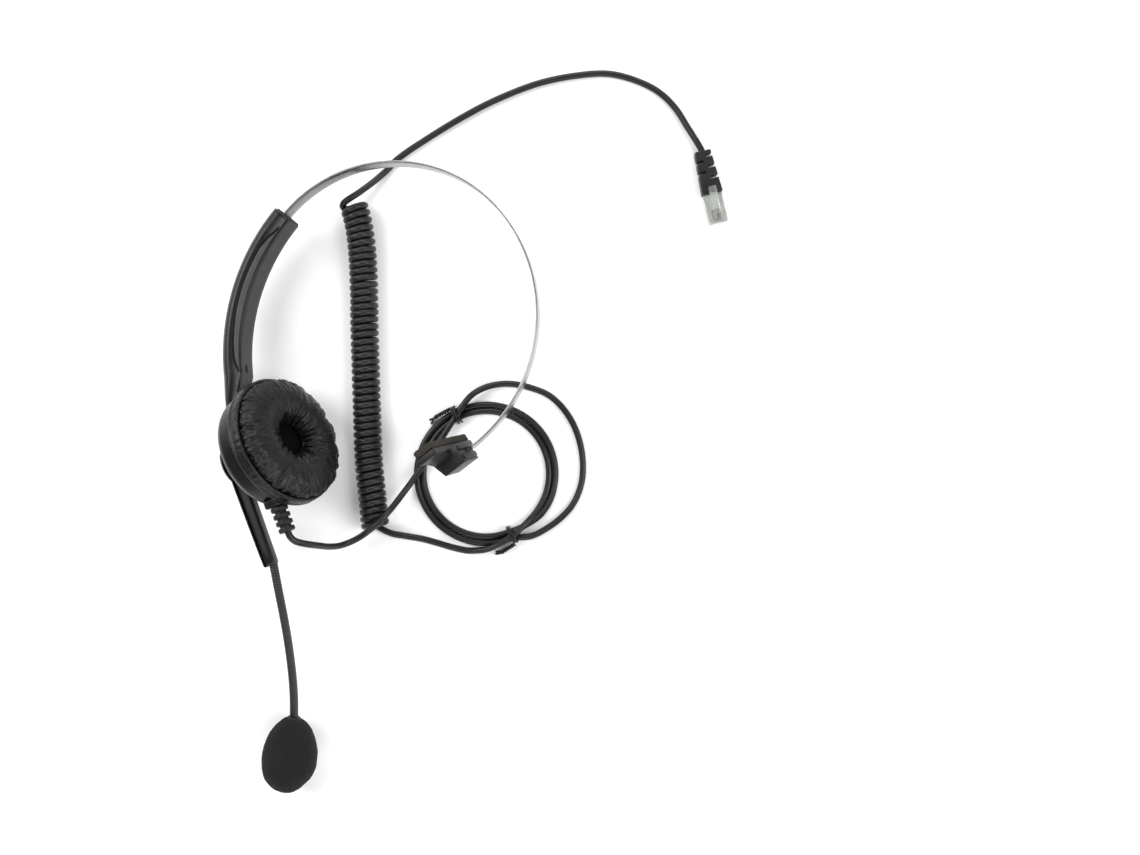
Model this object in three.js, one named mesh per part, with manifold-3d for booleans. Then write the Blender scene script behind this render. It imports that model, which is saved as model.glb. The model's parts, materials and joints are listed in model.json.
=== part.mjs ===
// Office headset: one ear cup on a sprung steel headband, a boom microphone and a curly cord with a plug.
// Millimetres, +Z up. The headset lies on its side, as it is laid on a desk, so the headband is nearly level.
// The origin is on the desk, under the middle of the headset without its cord.
//
// Frames used below:
//   band frame: origin at the cup's swivel, +X towards the head, +Y up the adjuster arm, +Z across the band
//   cup frame:  origin at the swivel, +X up the arm, +Z out of the cup towards the ear
import * as THREE from 'three';
import { mergeVertices } from 'three/addons/utils/BufferGeometryUtils.js';
import Module from 'manifold-3d';

const wasm = await Module();
wasm.setup();

// ---------------------------------------------------------------- driving dimensions
const GAP = 0.3; // clearance between pieces that touch
const SWIVEL = new THREE.Vector3(-49.6, 10.1, 19); // the cup's swivel in the lying headset
const BAND_NORMAL = new THREE.Vector3(-0.116, 0.0524, 1).normalize();
const BAND_HEADING = 22; // degrees, direction from the cup towards the head
const CUP_TILT = 23.5; // degrees between the ear cup's axis and the band's plane

const STRIP_WIDTH = 8;
const STRIP_THICK = 0.8;
const ARM_RADIUS = 85; // bend of the adjuster arm along its slot
const ARM_START = 12; // degrees round the arm's bend, from the cup's side
const ARM_END = 61.7;
const CROWN_RADIUS = 57.8; // headband next to the arm
const SIDE_RADIUS = 65.2; // headband on the far side
const CROWN_END = 17.5; // degrees, where the two bends of the band meet
const STRIP_END = -76.5; // degrees, where the band ends at the temple pad
const BAND_EXIT = new THREE.Vector2(45.5, 86.2); // where the strip leaves the arm

const ARM_WIDTH = 14;
const ARM_OUTER = 4.6; // from the slot's middle to the outer face
const ARM_INNER = 4.2; // from the slot's middle to the inner face
const ARM_WALL = 1.6;

const CUP_RADIUS = 24;
const CUP_BACK = 2.6; // swivel to the back's rim
const CUP_WALL = 1.6;
const RECESS_RADIUS = 9.8; // the hollow in the back, where the swivel sits
const RECESS_FLOOR = 5;
const FLANGE_RADIUS = 26.2;
const FLANGE_AT = 13.2; // swivel to the cushion ring
const FLANGE_THICK = 3.6;
const BAFFLE_AT = 14.6;

const BOOM_LENGTH = 43.6;
const GOOSENECK_DIAMETER = 3.5;
const FOAM_RADIUS = 11.4;
const FOAM_LENGTH = 31.5;

const PAD_LENGTH = 39;
const PAD_LEAN = 13; // degrees, temple pad turned about its rivet
const PAD_WIDTH = 9;

const CORD_DIAMETER = 2.7;
const CORD_SIDES = 8;
const CURLY_DIAMETER = 11.8;
const RING_CENTRE = new THREE.Vector2(41.5, 1.8);
const RING_RADIUS = 27.6;

const radians = THREE.MathUtils.degToRad;

// ---------------------------------------------------------------- materials
function finish(color, roughness, metalness = 0) {
  return new THREE.MeshStandardMaterial({ color, roughness, metalness });
}
const blackSatin = () => finish(0x2b2b2f, 0.45);
const blackMatte = () => finish(0x232326, 0.7);
const steel = () => finish(0xc9ccd0, 0.25, 1);
const leatherette = () => finish(0x1d1d20, 0.5);
const foam = () => finish(0x151517, 0.95);
const brownFoam = () => finish(0x2a2622, 0.95);
const cordJacket = () => finish(0x222226, 0.5);
const gooseneckBlack = () => finish(0x26262a, 0.4);
const clearPlastic = () => finish(0xe6e8e6, 0.15);
const brass = () => finish(0xc8a24a, 0.3, 1);

// ---------------------------------------------------------------- geometry helpers
// A closed mesh with shared vertices, without slivers, its faces pointing out.
function closed(geometry) {
  const bare = geometry.index ? geometry.toNonIndexed() : geometry.clone();
  for (const name of Object.keys(bare.attributes)) {
    if (name !== 'position') bare.deleteAttribute(name);
  }
  const merged = mergeVertices(bare, 1e-4);
  const position = merged.attributes.position;
  const index = merged.index.array;
  const kept = [];
  let volume = 0;
  const a = new THREE.Vector3();
  const b = new THREE.Vector3();
  const c = new THREE.Vector3();
  for (let k = 0; k < index.length; k += 3) {
    const [i, j, l] = [index[k], index[k + 1], index[k + 2]];
    if (i === j || j === l || i === l) continue;
    kept.push(i, j, l);
    a.fromBufferAttribute(position, i);
    b.fromBufferAttribute(position, j);
    c.fromBufferAttribute(position, l);
    volume += a.dot(b.clone().cross(c));
  }
  if (volume < 0) kept.reverse();
  merged.setIndex(kept);
  return merged;
}

function solidOf(geometry) {
  const mesh = closed(geometry);
  return new wasm.Manifold(
    new wasm.Mesh({
      numProp: 3,
      vertProperties: new Float32Array(mesh.attributes.position.array),
      triVerts: new Uint32Array(mesh.index.array),
    }),
  );
}

function geometryOf(solid) {
  const mesh = solid.getMesh();
  const geometry = new THREE.BufferGeometry();
  geometry.setAttribute('position', new THREE.BufferAttribute(new Float32Array(mesh.vertProperties), 3));
  geometry.setIndex(Array.from(mesh.triVerts));
  return closed(geometry);
}

function join(...geometries) {
  return geometryOf(geometries.map(solidOf).reduce((whole, part) => whole.add(part)));
}

function cut(body, ...tools) {
  return geometryOf(tools.map(solidOf).reduce((whole, tool) => whole.subtract(tool), solidOf(body)));
}

// A turned piece about +Z. Each profile point is [radius, height].
function turned(profile, sides = 36) {
  const points = profile.map(([r, h]) => new THREE.Vector2(r, h));
  return closed(new THREE.LatheGeometry(points, sides).rotateX(Math.PI / 2));
}

// A turned ring: the profile closes on itself.
const turnedRing = (profile, sides = 36) => turned([...profile, profile[0]], sides);

// A plain round bar about +Z from height low to high, with a small bevel at both ends.
function bar(radius, low, high, sides = 24, bevel = 0.3) {
  return turned(
    [
      [0, low],
      [radius - bevel, low],
      [radius, low + bevel],
      [radius, high - bevel],
      [radius - bevel, high],
      [0, high],
    ],
    sides,
  );
}

const alongX = (geometry) => geometry.rotateY(Math.PI / 2);
const alongY = (geometry) => geometry.rotateX(-Math.PI / 2);

function box(x0, x1, y0, y1, z0, z1) {
  const solid = new THREE.BoxGeometry(x1 - x0, y1 - y0, z1 - z0);
  return solid.translate((x0 + x1) / 2, (y0 + y1) / 2, (z0 + z1) / 2);
}

// A flat plate: an outline in X and Y, from height low to high.
function plate(outline, low, high) {
  const shape = new THREE.Shape(outline.map(([x, y]) => new THREE.Vector2(x, y)));
  const solid = new THREE.ExtrudeGeometry(shape, { depth: high - low, bevelEnabled: false });
  return closed(solid.translate(0, 0, low));
}

// A round tube along a smooth curve through the points.
function tube(points, diameter, sides, steps) {
  const curve = new THREE.CatmullRomCurve3(points.map((p) => new THREE.Vector3(...p)), false, 'centripetal');
  const section = new THREE.Shape();
  for (let k = 0; k < sides; k += 1) {
    const angle = (2 * Math.PI * k) / sides;
    const [x, y] = [(diameter / 2) * Math.cos(angle), (diameter / 2) * Math.sin(angle)];
    if (k === 0) section.moveTo(x, y);
    else section.lineTo(x, y);
  }
  return closed(new THREE.ExtrudeGeometry(section, { steps, extrudePath: curve, bevelEnabled: false }));
}

// Rings of a strain relief: a tapering sleeve with grooves, about +Z from 0 to length.
function ribbedSleeve(rootRadius, tipRadius, bore, length, ribs, grooveDepth) {
  const profile = [[bore, 0]];
  const pitch = length / ribs;
  for (let k = 0; k < ribs; k += 1) {
    const radius = THREE.MathUtils.lerp(rootRadius, tipRadius, k / (ribs - 1));
    profile.push([radius, k * pitch]);
    profile.push([radius, (k + 0.62) * pitch]);
    if (k < ribs - 1) {
      profile.push([radius - grooveDepth, (k + 0.64) * pitch]);
      profile.push([radius - grooveDepth, (k + 0.98) * pitch]);
    }
  }
  const height = (ribs - 0.38) * pitch;
  profile.push([bore, height]);
  return turnedRing(profile, 16);
}

// ---------------------------------------------------------------- the band's plan, in the band frame
const exitNormal = new THREE.Vector2(Math.sin(radians(90 - ARM_END)), -Math.cos(radians(90 - ARM_END)));
const armCentre = BAND_EXIT.clone().addScaledVector(exitNormal, ARM_RADIUS);
const crownCentre = BAND_EXIT.clone().addScaledVector(exitNormal, CROWN_RADIUS);
const bendMeet = new THREE.Vector2(Math.cos(radians(CROWN_END)), Math.sin(radians(CROWN_END)));
const sideCentre = crownCentre.clone().addScaledVector(bendMeet, CROWN_RADIUS - SIDE_RADIUS);

// A point at a radius round the arm's bend; the angle starts from the side of the cup.
function armPoint(degrees, radius) {
  const angle = radians(degrees);
  return [armCentre.x - radius * Math.cos(angle), armCentre.y + radius * Math.sin(angle)];
}

// Points round part of a circle, from one angle to another.
function arcPoints(centre, radius, from, to, steps) {
  const points = [];
  for (let k = 0; k <= steps; k += 1) {
    const angle = radians(THREE.MathUtils.lerp(from, to, k / steps));
    points.push([centre.x + radius * Math.cos(angle), centre.y + radius * Math.sin(angle)]);
  }
  return points;
}

// A curved bar of rectangular section that follows the arm's bend.
function armBar(from, to, inner, outer, halfWidth, steps) {
  const outline = [];
  for (let k = 0; k <= steps; k += 1) {
    outline.push(armPoint(THREE.MathUtils.lerp(from, to, k / steps), outer));
  }
  for (let k = steps; k >= 0; k -= 1) {
    outline.push(armPoint(THREE.MathUtils.lerp(from, to, k / steps), inner));
  }
  return plate(outline, -halfWidth, halfWidth);
}

// ---------------------------------------------------------------- nested groups
const headset = new THREE.Group();
const band = new THREE.Group();
const cup = new THREE.Group();
const pad = new THREE.Group();
headset.add(band);
band.add(cup);
band.add(pad);

const heading = radians(BAND_HEADING);
const towardsHead = new THREE.Vector3(Math.cos(heading), Math.sin(heading), 0);
towardsHead.z = -towardsHead.dot(BAND_NORMAL) / BAND_NORMAL.z;
towardsHead.normalize();
const upTheArm = BAND_NORMAL.clone().cross(towardsHead);
band.position.copy(SWIVEL);
band.quaternion.setFromRotationMatrix(new THREE.Matrix4().makeBasis(towardsHead, upTheArm, BAND_NORMAL));

const tiltCos = Math.cos(radians(CUP_TILT));
const tiltSin = Math.sin(radians(CUP_TILT));
cup.quaternion.setFromRotationMatrix(
  new THREE.Matrix4().makeBasis(
    new THREE.Vector3(0, 1, 0),
    new THREE.Vector3(-tiltSin, 0, tiltCos),
    new THREE.Vector3(tiltCos, 0, tiltSin),
  ),
);

function add(group, name, material, geometry) {
  const mesh = new THREE.Mesh(closed(geometry), material);
  mesh.name = name;
  group.add(mesh);
  return mesh;
}

// ---------------------------------------------------------------- ear cup
const PIN_RADIUS = 1.5;
const LUG_HALF = 2.6;
const RELIEF_AT = 9.6; // cord entry, from the swivel along the cup's axis
const RELIEF_SIDE = 9.4; // cord entry, off the cup's middle line
const RELIEF_START = -24.3;
const RELIEF_LENGTH = 11.4;

function cupHousing() {
  const shell = turned([
    [0, RECESS_FLOOR],
    [RECESS_RADIUS, RECESS_FLOOR],
    [RECESS_RADIUS, CUP_BACK],
    [CUP_RADIUS - 3, CUP_BACK],
    [CUP_RADIUS - 1, CUP_BACK + 0.9],
    [CUP_RADIUS, CUP_BACK + 3],
    [CUP_RADIUS, FLANGE_AT - GAP],
    [CUP_RADIUS - CUP_WALL, FLANGE_AT - GAP],
    [CUP_RADIUS - CUP_WALL, CUP_BACK + CUP_WALL + 2.2],
    [CUP_RADIUS - CUP_WALL - 2.2, CUP_BACK + CUP_WALL],
    [RECESS_RADIUS + CUP_WALL, CUP_BACK + CUP_WALL],
    [RECESS_RADIUS + CUP_WALL, RECESS_FLOOR + CUP_WALL],
    [0, RECESS_FLOOR + CUP_WALL],
  ]);
  const eye = new THREE.CylinderGeometry(3, 3, 2 * LUG_HALF, 24).rotateZ(Math.PI / 2);
  const web = box(-LUG_HALF, LUG_HALF, -3, 3, 0, RECESS_FLOOR + 0.4);
  const bore = new THREE.CylinderGeometry(PIN_RADIUS + GAP, PIN_RADIUS + GAP, 8, 24).rotateZ(Math.PI / 2);
  const boss = box(RELIEF_START + GAP, RELIEF_START + 5, RELIEF_SIDE - 4.4, RELIEF_SIDE + 4.2, 6.2, 13);
  const inside = turned([
    [0, CUP_BACK + CUP_WALL],
    [CUP_RADIUS - CUP_WALL, CUP_BACK + CUP_WALL],
    [CUP_RADIUS - CUP_WALL, FLANGE_AT + 2],
    [0, FLANGE_AT + 2],
  ]);
  const cordHole = new THREE.CylinderGeometry(1.7, 1.7, 12, 16)
    .rotateZ(Math.PI / 2)
    .translate(-CUP_RADIUS, RELIEF_SIDE, RELIEF_AT);
  return cut(join(shell, eye, web, cut(boss, inside)), bore, cordHole);
}

add(cup, 'cup_housing', blackSatin(), cupHousing());

add(
  cup,
  'cushion_ring',
  blackSatin(),
  turnedRing([
    [20.6, FLANGE_AT],
    [FLANGE_RADIUS - 0.5, FLANGE_AT],
    [FLANGE_RADIUS, FLANGE_AT + 0.5],
    [FLANGE_RADIUS, FLANGE_AT + FLANGE_THICK - 1],
    [FLANGE_RADIUS - 1.2, FLANGE_AT + FLANGE_THICK],
    [20.6, FLANGE_AT + FLANGE_THICK],
  ]),
);

function baffle() {
  const disc = bar(20.2, BAFFLE_AT, BAFFLE_AT + 1.8, 36);
  const holes = [[0, 0]];
  for (let k = 0; k < 6; k += 1) holes.push([4.4, 60 * k]);
  for (let k = 0; k < 8; k += 1) holes.push([8.6, 45 * k]);
  const tools = holes.map(([r, degrees]) => {
    const [x, y] = [r * Math.cos(radians(degrees)), r * Math.sin(radians(degrees))];
    return new THREE.CylinderGeometry(1.1, 1.1, 4, 8).rotateX(Math.PI / 2).translate(x, y, BAFFLE_AT + 1);
  });
  return cut(disc, ...tools);
}
add(cup, 'baffle_grille', blackMatte(), baffle());

add(
  cup,
  'speaker_driver',
  steel(),
  turned([
    [0, 8.2],
    [7.4, 8.2],
    [8, 8.8],
    [8, 10.8],
    [13, 11.6],
    [15.5, 12.6],
    [15.5, 13.4],
    [0, 13.4],
  ]),
);

add(
  cup,
  'speaker_diaphragm',
  clearPlastic(),
  turned([
    [0, 13.7],
    [14.5, 13.7],
    [14.5, 13.9],
    [7, 14.3],
    [0, 14.3],
  ]),
);

add(
  cup,
  'speaker_cloth',
  blackMatte(),
  bar(11.5, BAFFLE_AT + 1.8 + GAP, BAFFLE_AT + 2.6, 32, 0.1),
);

// Closed section of the ear cushion: a low crowned ring, flat where it sits on the flange.
const CUSHION_MIDDLE = 16.4; // radius at its crown
const CUSHION_REACH = 9.2; // from the crown to its outer and inner sides
const CUSHION_RISE = 4.8; // from its widest height to the crown
function cushionProfile() {
  const base = FLANGE_AT + FLANGE_THICK + GAP;
  const points = [];
  const steps = 10;
  for (let k = 0; k <= steps; k += 1) {
    const angle = Math.PI * (k / steps) - 0.12;
    const rise = CUSHION_RISE * Math.max(Math.sin(angle), -0.1);
    points.push([CUSHION_MIDDLE + CUSHION_REACH * Math.cos(angle), base + 2.2 + rise]);
  }
  points.push([9.6, base + 0.3]);
  points.push([24, base + 0.3]);
  return points;
}
add(cup, 'ear_cushion', leatherette(), turnedRing(cushionProfile(), 36));

add(
  cup,
  'cup_strain_relief',
  blackMatte(),
  alongX(ribbedSleeve(3.45, 3.3, CORD_DIAMETER / 2 + GAP, RELIEF_LENGTH, 4, 0.9))
    .rotateZ(Math.PI)
    .translate(RELIEF_START, RELIEF_SIDE, RELIEF_AT),
);

add(
  cup,
  'speaker_lead',
  cordJacket(),
  tube(
    [
      [-20.6, RELIEF_SIDE, RELIEF_AT],
      [-17.5, RELIEF_SIDE - 1, RELIEF_AT - 1],
      [-14, RELIEF_SIDE - 4, RELIEF_AT - 1.8],
      [-11.5, 2.5, RELIEF_AT - 0.8],
      [-9.3, 0, RELIEF_AT - 0.4],
    ],
    1.2,
    8,
    10,
  ),
);

// ---------------------------------------------------------------- adjuster arm
const HUB_INNER = -3;
const HUB_OUTER = -7;
const HUB_RADIUS = 9;
const ARM_SCREW_AT = 14.2; // degrees round the arm's bend

function armShell() {
  const outer = armBar(
    ARM_START, ARM_END, ARM_RADIUS - ARM_INNER, ARM_RADIUS + ARM_OUTER, ARM_WIDTH / 2, 26,
  );
  const channel = armBar(
    ARM_START + 5, ARM_END + 2, ARM_RADIUS - ARM_INNER - 2, ARM_RADIUS + ARM_OUTER - ARM_WALL,
    ARM_WIDTH / 2 - ARM_WALL, 26,
  );
  const neckOuter = [[-7, 0], [-7, 8], [-6.2, 14], [-4.9, 20], [-3.3, 26], armPoint(ARM_START + 0.5, 89.5)];
  const neckInner = [
    armPoint(ARM_START + 0.5, 80.9),
    [3.8, 26.6],
    [1.1, 24],
    [-0.6, 20],
    [-2, 14],
    [-3, 8],
    [-3, 0],
  ];
  const neck = plate([...neckOuter, ...neckInner], -6.4, 6.4);
  const hub = alongX(bar(HUB_RADIUS, HUB_OUTER, HUB_INNER, 28, 0.5));
  const ear = (side) => {
    const web = box(HUB_INNER - 1, 0, side * 4.4 - 1.5, side * 4.4 + 1.5, -3, 3);
    const eye = alongY(bar(3, side * 4.4 - 1.5, side * 4.4 + 1.5, 24, 0.2));
    return join(web, eye);
  };
  const pinBore = new THREE.CylinderGeometry(PIN_RADIUS + GAP, PIN_RADIUS + GAP, 15.6, 24);
  const screwBore = alongX(bar(PIN_RADIUS + GAP, HUB_OUTER - 1, HUB_INNER + 1, 20, 0.1));
  const shell = join(cut(outer, channel), neck, hub, ear(1), ear(-1));
  return cut(shell, pinBore, screwBore, armScrew(1.1, 2.3, ARM_INNER + 3));
}

// The screw at the foot of the inner cover, or the space for it: shank and head, across the arm.
function armScrew(shank, head, top) {
  const [x, y] = armPoint(ARM_SCREW_AT, ARM_RADIUS);
  const profile = [
    [0, -2.6],
    [shank, -2.6],
    [shank, 2.6],
    [head, 2.6],
    [head, top],
    [0, top],
  ];
  return turned(profile, 16).rotateY(Math.PI / 2).rotateZ(radians(-ARM_SCREW_AT)).translate(x, y, 0);
}

const COVER_THICK = 1.7;
const coverInner = ARM_RADIUS - ARM_INNER + 0.1;
const coverHalf = ARM_WIDTH / 2 - ARM_WALL - GAP;

add(band, 'arm_outer_shell', blackSatin(), armShell());
add(
  band,
  'arm_inner_cover',
  blackSatin(),
  armBar(ARM_START + 5.4, ARM_END - 2.6, coverInner, coverInner + COVER_THICK, coverHalf, 24),
);

function endBush() {
  const body = armBar(
    ARM_END - 2.2, ARM_END + 0.6, coverInner, ARM_RADIUS + ARM_OUTER - ARM_WALL - GAP, coverHalf, 4,
  );
  const slot = armBar(
    ARM_END - 4, ARM_END + 4, ARM_RADIUS - STRIP_THICK / 2 - 0.6, ARM_RADIUS + STRIP_THICK / 2 + GAP,
    STRIP_WIDTH / 2 + GAP, 6,
  );
  return cut(body, slot);
}
add(band, 'arm_end_bush', blackMatte(), endBush());

// A bowed leaf between the shell and the strip.
function sliderSpring() {
  const outline = [];
  const steps = 10;
  for (const side of [1, -1]) {
    for (let k = 0; k <= steps; k += 1) {
      const share = side > 0 ? k / steps : 1 - k / steps;
      const bow = 1.25 * Math.sin(Math.PI * share);
      outline.push(armPoint(THREE.MathUtils.lerp(40, 50, share), ARM_RADIUS + 2.3 - bow + side * 0.15));
    }
  }
  return plate(outline, -3, 3);
}
add(band, 'slider_spring', steel(), sliderSpring());

add(band, 'arm_screw', steel(), armScrew(0.8, 2, 3.9));

add(band, 'swivel_pin', steel(), new THREE.CylinderGeometry(PIN_RADIUS, PIN_RADIUS, 13.4, 24));

// ---------------------------------------------------------------- headband strip
// Pad frame: origin where the strip enters the temple pad, +X away from the head, +Y back along the strip.
const padAngle = radians(STRIP_END);
const padOut = new THREE.Vector3(Math.cos(padAngle), Math.sin(padAngle), 0);
const padBack = new THREE.Vector3(-Math.sin(padAngle), Math.cos(padAngle), 0);
pad.position.set(sideCentre.x, sideCentre.y, 0).addScaledVector(padOut, SIDE_RADIUS);
pad.quaternion.setFromRotationMatrix(
  new THREE.Matrix4().makeBasis(padOut, padBack, new THREE.Vector3(0, 0, 1)),
);
pad.updateMatrix();

const RIVET_BACK = -7.9; // the pad's pivot, past the strip's entry
const RIVET_RADIUS = 1.5;
const TONGUE_LENGTH = 10.6; // straight end of the strip, inside the holder
const TONGUE_WIDTH = 5;

function strip() {
  const side = (offset) => {
    const tip = new THREE.Vector3(offset, -TONGUE_LENGTH, 0).applyMatrix4(pad.matrix);
    return [
      ...arcPoints(armCentre, ARM_RADIUS + offset, 180 - 30, 180 - ARM_END, 12),
      ...arcPoints(crownCentre, CROWN_RADIUS + offset, 180 - ARM_END, CROWN_END, 26).slice(1),
      ...arcPoints(sideCentre, SIDE_RADIUS + offset, CROWN_END, STRIP_END, 28).slice(1),
      [tip.x, tip.y],
    ];
  };
  const outline = [...side(STRIP_THICK / 2), ...side(-STRIP_THICK / 2).reverse()];
  const whole = plate(outline, -STRIP_WIDTH / 2, STRIP_WIDTH / 2);
  const shoulders = [1, -1].map((sign) =>
    box(-3, 3, -TONGUE_LENGTH - 2, 2, TONGUE_WIDTH / 2, STRIP_WIDTH)
      .scale(1, 1, sign)
      .applyMatrix4(pad.matrix),
  );
  const eye = alongX(bar(RIVET_RADIUS + GAP, -3, 3, 20, 0.1)).translate(0, RIVET_BACK, 0);
  return cut(whole, ...shoulders, eye.applyMatrix4(pad.matrix));
}
add(band, 'headband_strip', steel(), strip());

// A block round the strip's hidden end, which meets the end bush at full reach.
add(band, 'strip_stop', blackMatte(), armBar(27.6, 29.4, ARM_RADIUS - 1.2, ARM_RADIUS + 1.6, 4.6, 2));

// ---------------------------------------------------------------- temple pad
const BLOCK_IN = -1.9;
const BLOCK_OUT = 4.8;
const PLATE_IN = -5.6;
const FOAM_IN = -8.9;
const BLOCK_HALF = 7;
const padLean = radians(PAD_LEAN);

// Turned by the pad's lean about the rivet, which runs along the pad frame's +X.
function leaning(geometry) {
  return geometry.translate(0, -RIVET_BACK, 0).rotateX(padLean).translate(0, RIVET_BACK, 0);
}

// A flat shape's X becomes the pad's Y, its Y becomes the pad's Z, and its depth runs along the pad's X.
const shapeToPad = new THREE.Matrix4().makeBasis(
  new THREE.Vector3(0, 1, 0),
  new THREE.Vector3(0, 0, 1),
  new THREE.Vector3(1, 0, 0),
);

// A bar with rounded corners in the pad frame's Y and Z, from one X to another.
function padBar(xLow, xHigh, length, width, corner) {
  const shape = new THREE.Shape();
  const [w, l] = [width / 2, length / 2];
  shape.moveTo(-w + corner, -l);
  shape.lineTo(w - corner, -l);
  shape.absarc(w - corner, -l + corner, corner, -Math.PI / 2, 0);
  shape.lineTo(w, l - corner);
  shape.absarc(w - corner, l - corner, corner, 0, Math.PI / 2);
  shape.lineTo(-w + corner, l);
  shape.absarc(-w + corner, l - corner, corner, Math.PI / 2, Math.PI);
  shape.lineTo(-w, -l + corner);
  shape.absarc(-w + corner, -l + corner, corner, Math.PI, 1.5 * Math.PI);
  const depth = xHigh - xLow;
  const solid = new THREE.ExtrudeGeometry(shape, { depth, bevelEnabled: false, curveSegments: 4 });
  return closed(solid.applyMatrix4(shapeToPad).translate(xLow, RIVET_BACK, 0));
}

function templeHolder() {
  const back = padBar(PLATE_IN, BLOCK_IN, PAD_LENGTH, PAD_WIDTH, 1.2);
  const block = plate(
    [
      [BLOCK_IN - 1, 0],
      [BLOCK_OUT, 0],
      [BLOCK_OUT, -10.9],
      [BLOCK_IN, -13.2],
      [BLOCK_IN - 1, -12],
    ],
    -BLOCK_HALF,
    BLOCK_HALF,
  );
  // the web that slopes from the plate's ends up to the block, in X and Z
  const slope = [
    [BLOCK_IN - 1, -17],
    [BLOCK_IN, -17],
    [-0.2, -12],
    [3.2, -BLOCK_HALF - 0.6],
    [3.2, BLOCK_HALF + 0.6],
    [-0.2, 12],
    [BLOCK_IN, 17],
    [BLOCK_IN - 1, 17],
  ];
  const webHalf = PAD_WIDTH / 2 - 0.4;
  const web = plate(slope, -webHalf, webHalf).rotateX(Math.PI / 2).translate(0, RIVET_BACK, 0);
  const mouth = plate(
    [
      [1, -6.1],
      [1, 6.1],
      [RIVET_BACK - 3.4, 3.3],
      [RIVET_BACK - 3.4, -3.3],
    ],
    -STRIP_THICK / 2 - GAP,
    STRIP_THICK / 2 + GAP,
  ).applyMatrix4(shapeToPad);
  const bore = alongX(bar(RIVET_RADIUS + GAP, PLATE_IN - 1, 3.6, 20, 0.1)).translate(0, RIVET_BACK, 0);
  const headSpace = alongX(bar(3.1, PLATE_IN - 1, PLATE_IN + 1.2, 20, 0.1)).translate(0, RIVET_BACK, 0);
  return leaning(cut(join(back, block, web), mouth, bore, headSpace));
}
add(pad, 'temple_holder', blackSatin(), templeHolder());

add(
  pad,
  'temple_rivet',
  steel(),
  alongX(
    turned([
      [0, PLATE_IN + 0.1],
      [2.8, PLATE_IN + 0.1],
      [2.8, PLATE_IN + 0.9],
      [RIVET_RADIUS, PLATE_IN + 0.9],
      [RIVET_RADIUS, 3.3],
      [0, 3.3],
    ], 20),
  ).translate(0, RIVET_BACK, 0),
);
add(
  pad,
  'temple_foam',
  brownFoam(),
  leaning(padBar(FOAM_IN, PLATE_IN - GAP, PAD_LENGTH - 0.6, PAD_WIDTH - 0.4, 1.6)),
);

// ---------------------------------------------------------------- microphone boom, in the band frame
const RING_INNER = HUB_OUTER - GAP;
const RING_OUTER = -11.9;
const COVER_INNER = RING_OUTER - GAP;
const COVER_OUTER = -13.1;

function boomOutline(inner, outer, innerTip, outerTip) {
  return [
    [outer, -5],
    [outerTip, -BOOM_LENGTH],
    [innerTip, -BOOM_LENGTH],
    [inner, -5],
  ];
}

function boomArm() {
  const ring = alongX(bar(HUB_RADIUS, RING_OUTER, RING_INNER, 28, 0.4));
  const beam = plate(boomOutline(RING_INNER, RING_OUTER, -7.8, RING_OUTER + 0.1), -3, 3);
  const bore = alongX(bar(PIN_RADIUS + GAP, RING_OUTER - 1, RING_INNER + 1, 20, 0.1));
  const well = alongX(bar(4.9, RING_OUTER - 2, RING_OUTER + 2.3, 24, 0.1));
  return cut(join(ring, beam), bore, well);
}
add(band, 'boom_arm', blackSatin(), boomArm());

function boomCover() {
  const disc = alongX(bar(HUB_RADIUS - 0.2, COVER_OUTER, COVER_INNER, 28, 0.3));
  const strap = plate(boomOutline(COVER_INNER, COVER_OUTER, COVER_INNER, COVER_OUTER + 0.2), -2.9, 2.9);
  return join(disc, strap);
}
add(band, 'boom_cover', blackSatin(), boomCover());

add(
  band,
  'boom_pivot_screw',
  steel(),
  alongX(
    turned([
      [0, -11.6],
      [3.2, -11.6],
      [3.2, -10.6],
      [PIN_RADIUS, -10.6],
      [PIN_RADIUS, -3.2],
      [0, -3.2],
    ], 24),
  ),
);
add(
  band,
  'boom_washer',
  steel(),
  alongX(
    turnedRing([
      [PIN_RADIUS + GAP, -10.3],
      [4.4, -10.3],
      [4.4, -9.9],
      [PIN_RADIUS + GAP, -9.9],
    ], 24),
  ),
);

// Gooseneck in the lying headset: three stretches that meet at two bends.
const neckBends = [new THREE.Vector3(-38.8, -55.1, 20.2), new THREE.Vector3(-36.3, -78.3, 16.5)];
const neckPoints = [
  [-42.4, -34.5, 21.8],
  [-40.5, -44.7, 21.5],
  neckBends[0].toArray(),
  [-37.3, -66.3, 18.6],
  neckBends[1].toArray(),
  [-36.1, -88.3, 14.3],
  [-36.5, -96.7, 12.3],
];
const BALL_GAP = 2.1; // from a bend's centre back to the stretch before it

function gooseneck(points, ballAt) {
  const sleeve = tube(points, GOOSENECK_DIAMETER, 10, 5);
  if (!ballAt) return sleeve;
  const ball = new THREE.SphereGeometry(GOOSENECK_DIAMETER / 2, 12, 6).translate(...ballAt.toArray());
  return join(sleeve, ball);
}

// The point on the way from one point to a bend, short of it by the ball's gap.
function shortOf(point, bend) {
  const from = new THREE.Vector3(...point);
  const way = new THREE.Vector3().subVectors(bend, from);
  return from.addScaledVector(way, 1 - BALL_GAP / way.length()).toArray();
}

add(
  headset,
  'gooseneck_1',
  gooseneckBlack(),
  gooseneck([neckPoints[0], neckPoints[1], shortOf(neckPoints[1], neckBends[0])]),
);
add(
  headset,
  'gooseneck_2',
  gooseneckBlack(),
  gooseneck([neckPoints[2], neckPoints[3], shortOf(neckPoints[3], neckBends[1])], neckBends[0]),
);
add(
  headset,
  'gooseneck_3',
  gooseneckBlack(),
  gooseneck([neckPoints[4], neckPoints[5], neckPoints[6]], neckBends[1]),
);

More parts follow.
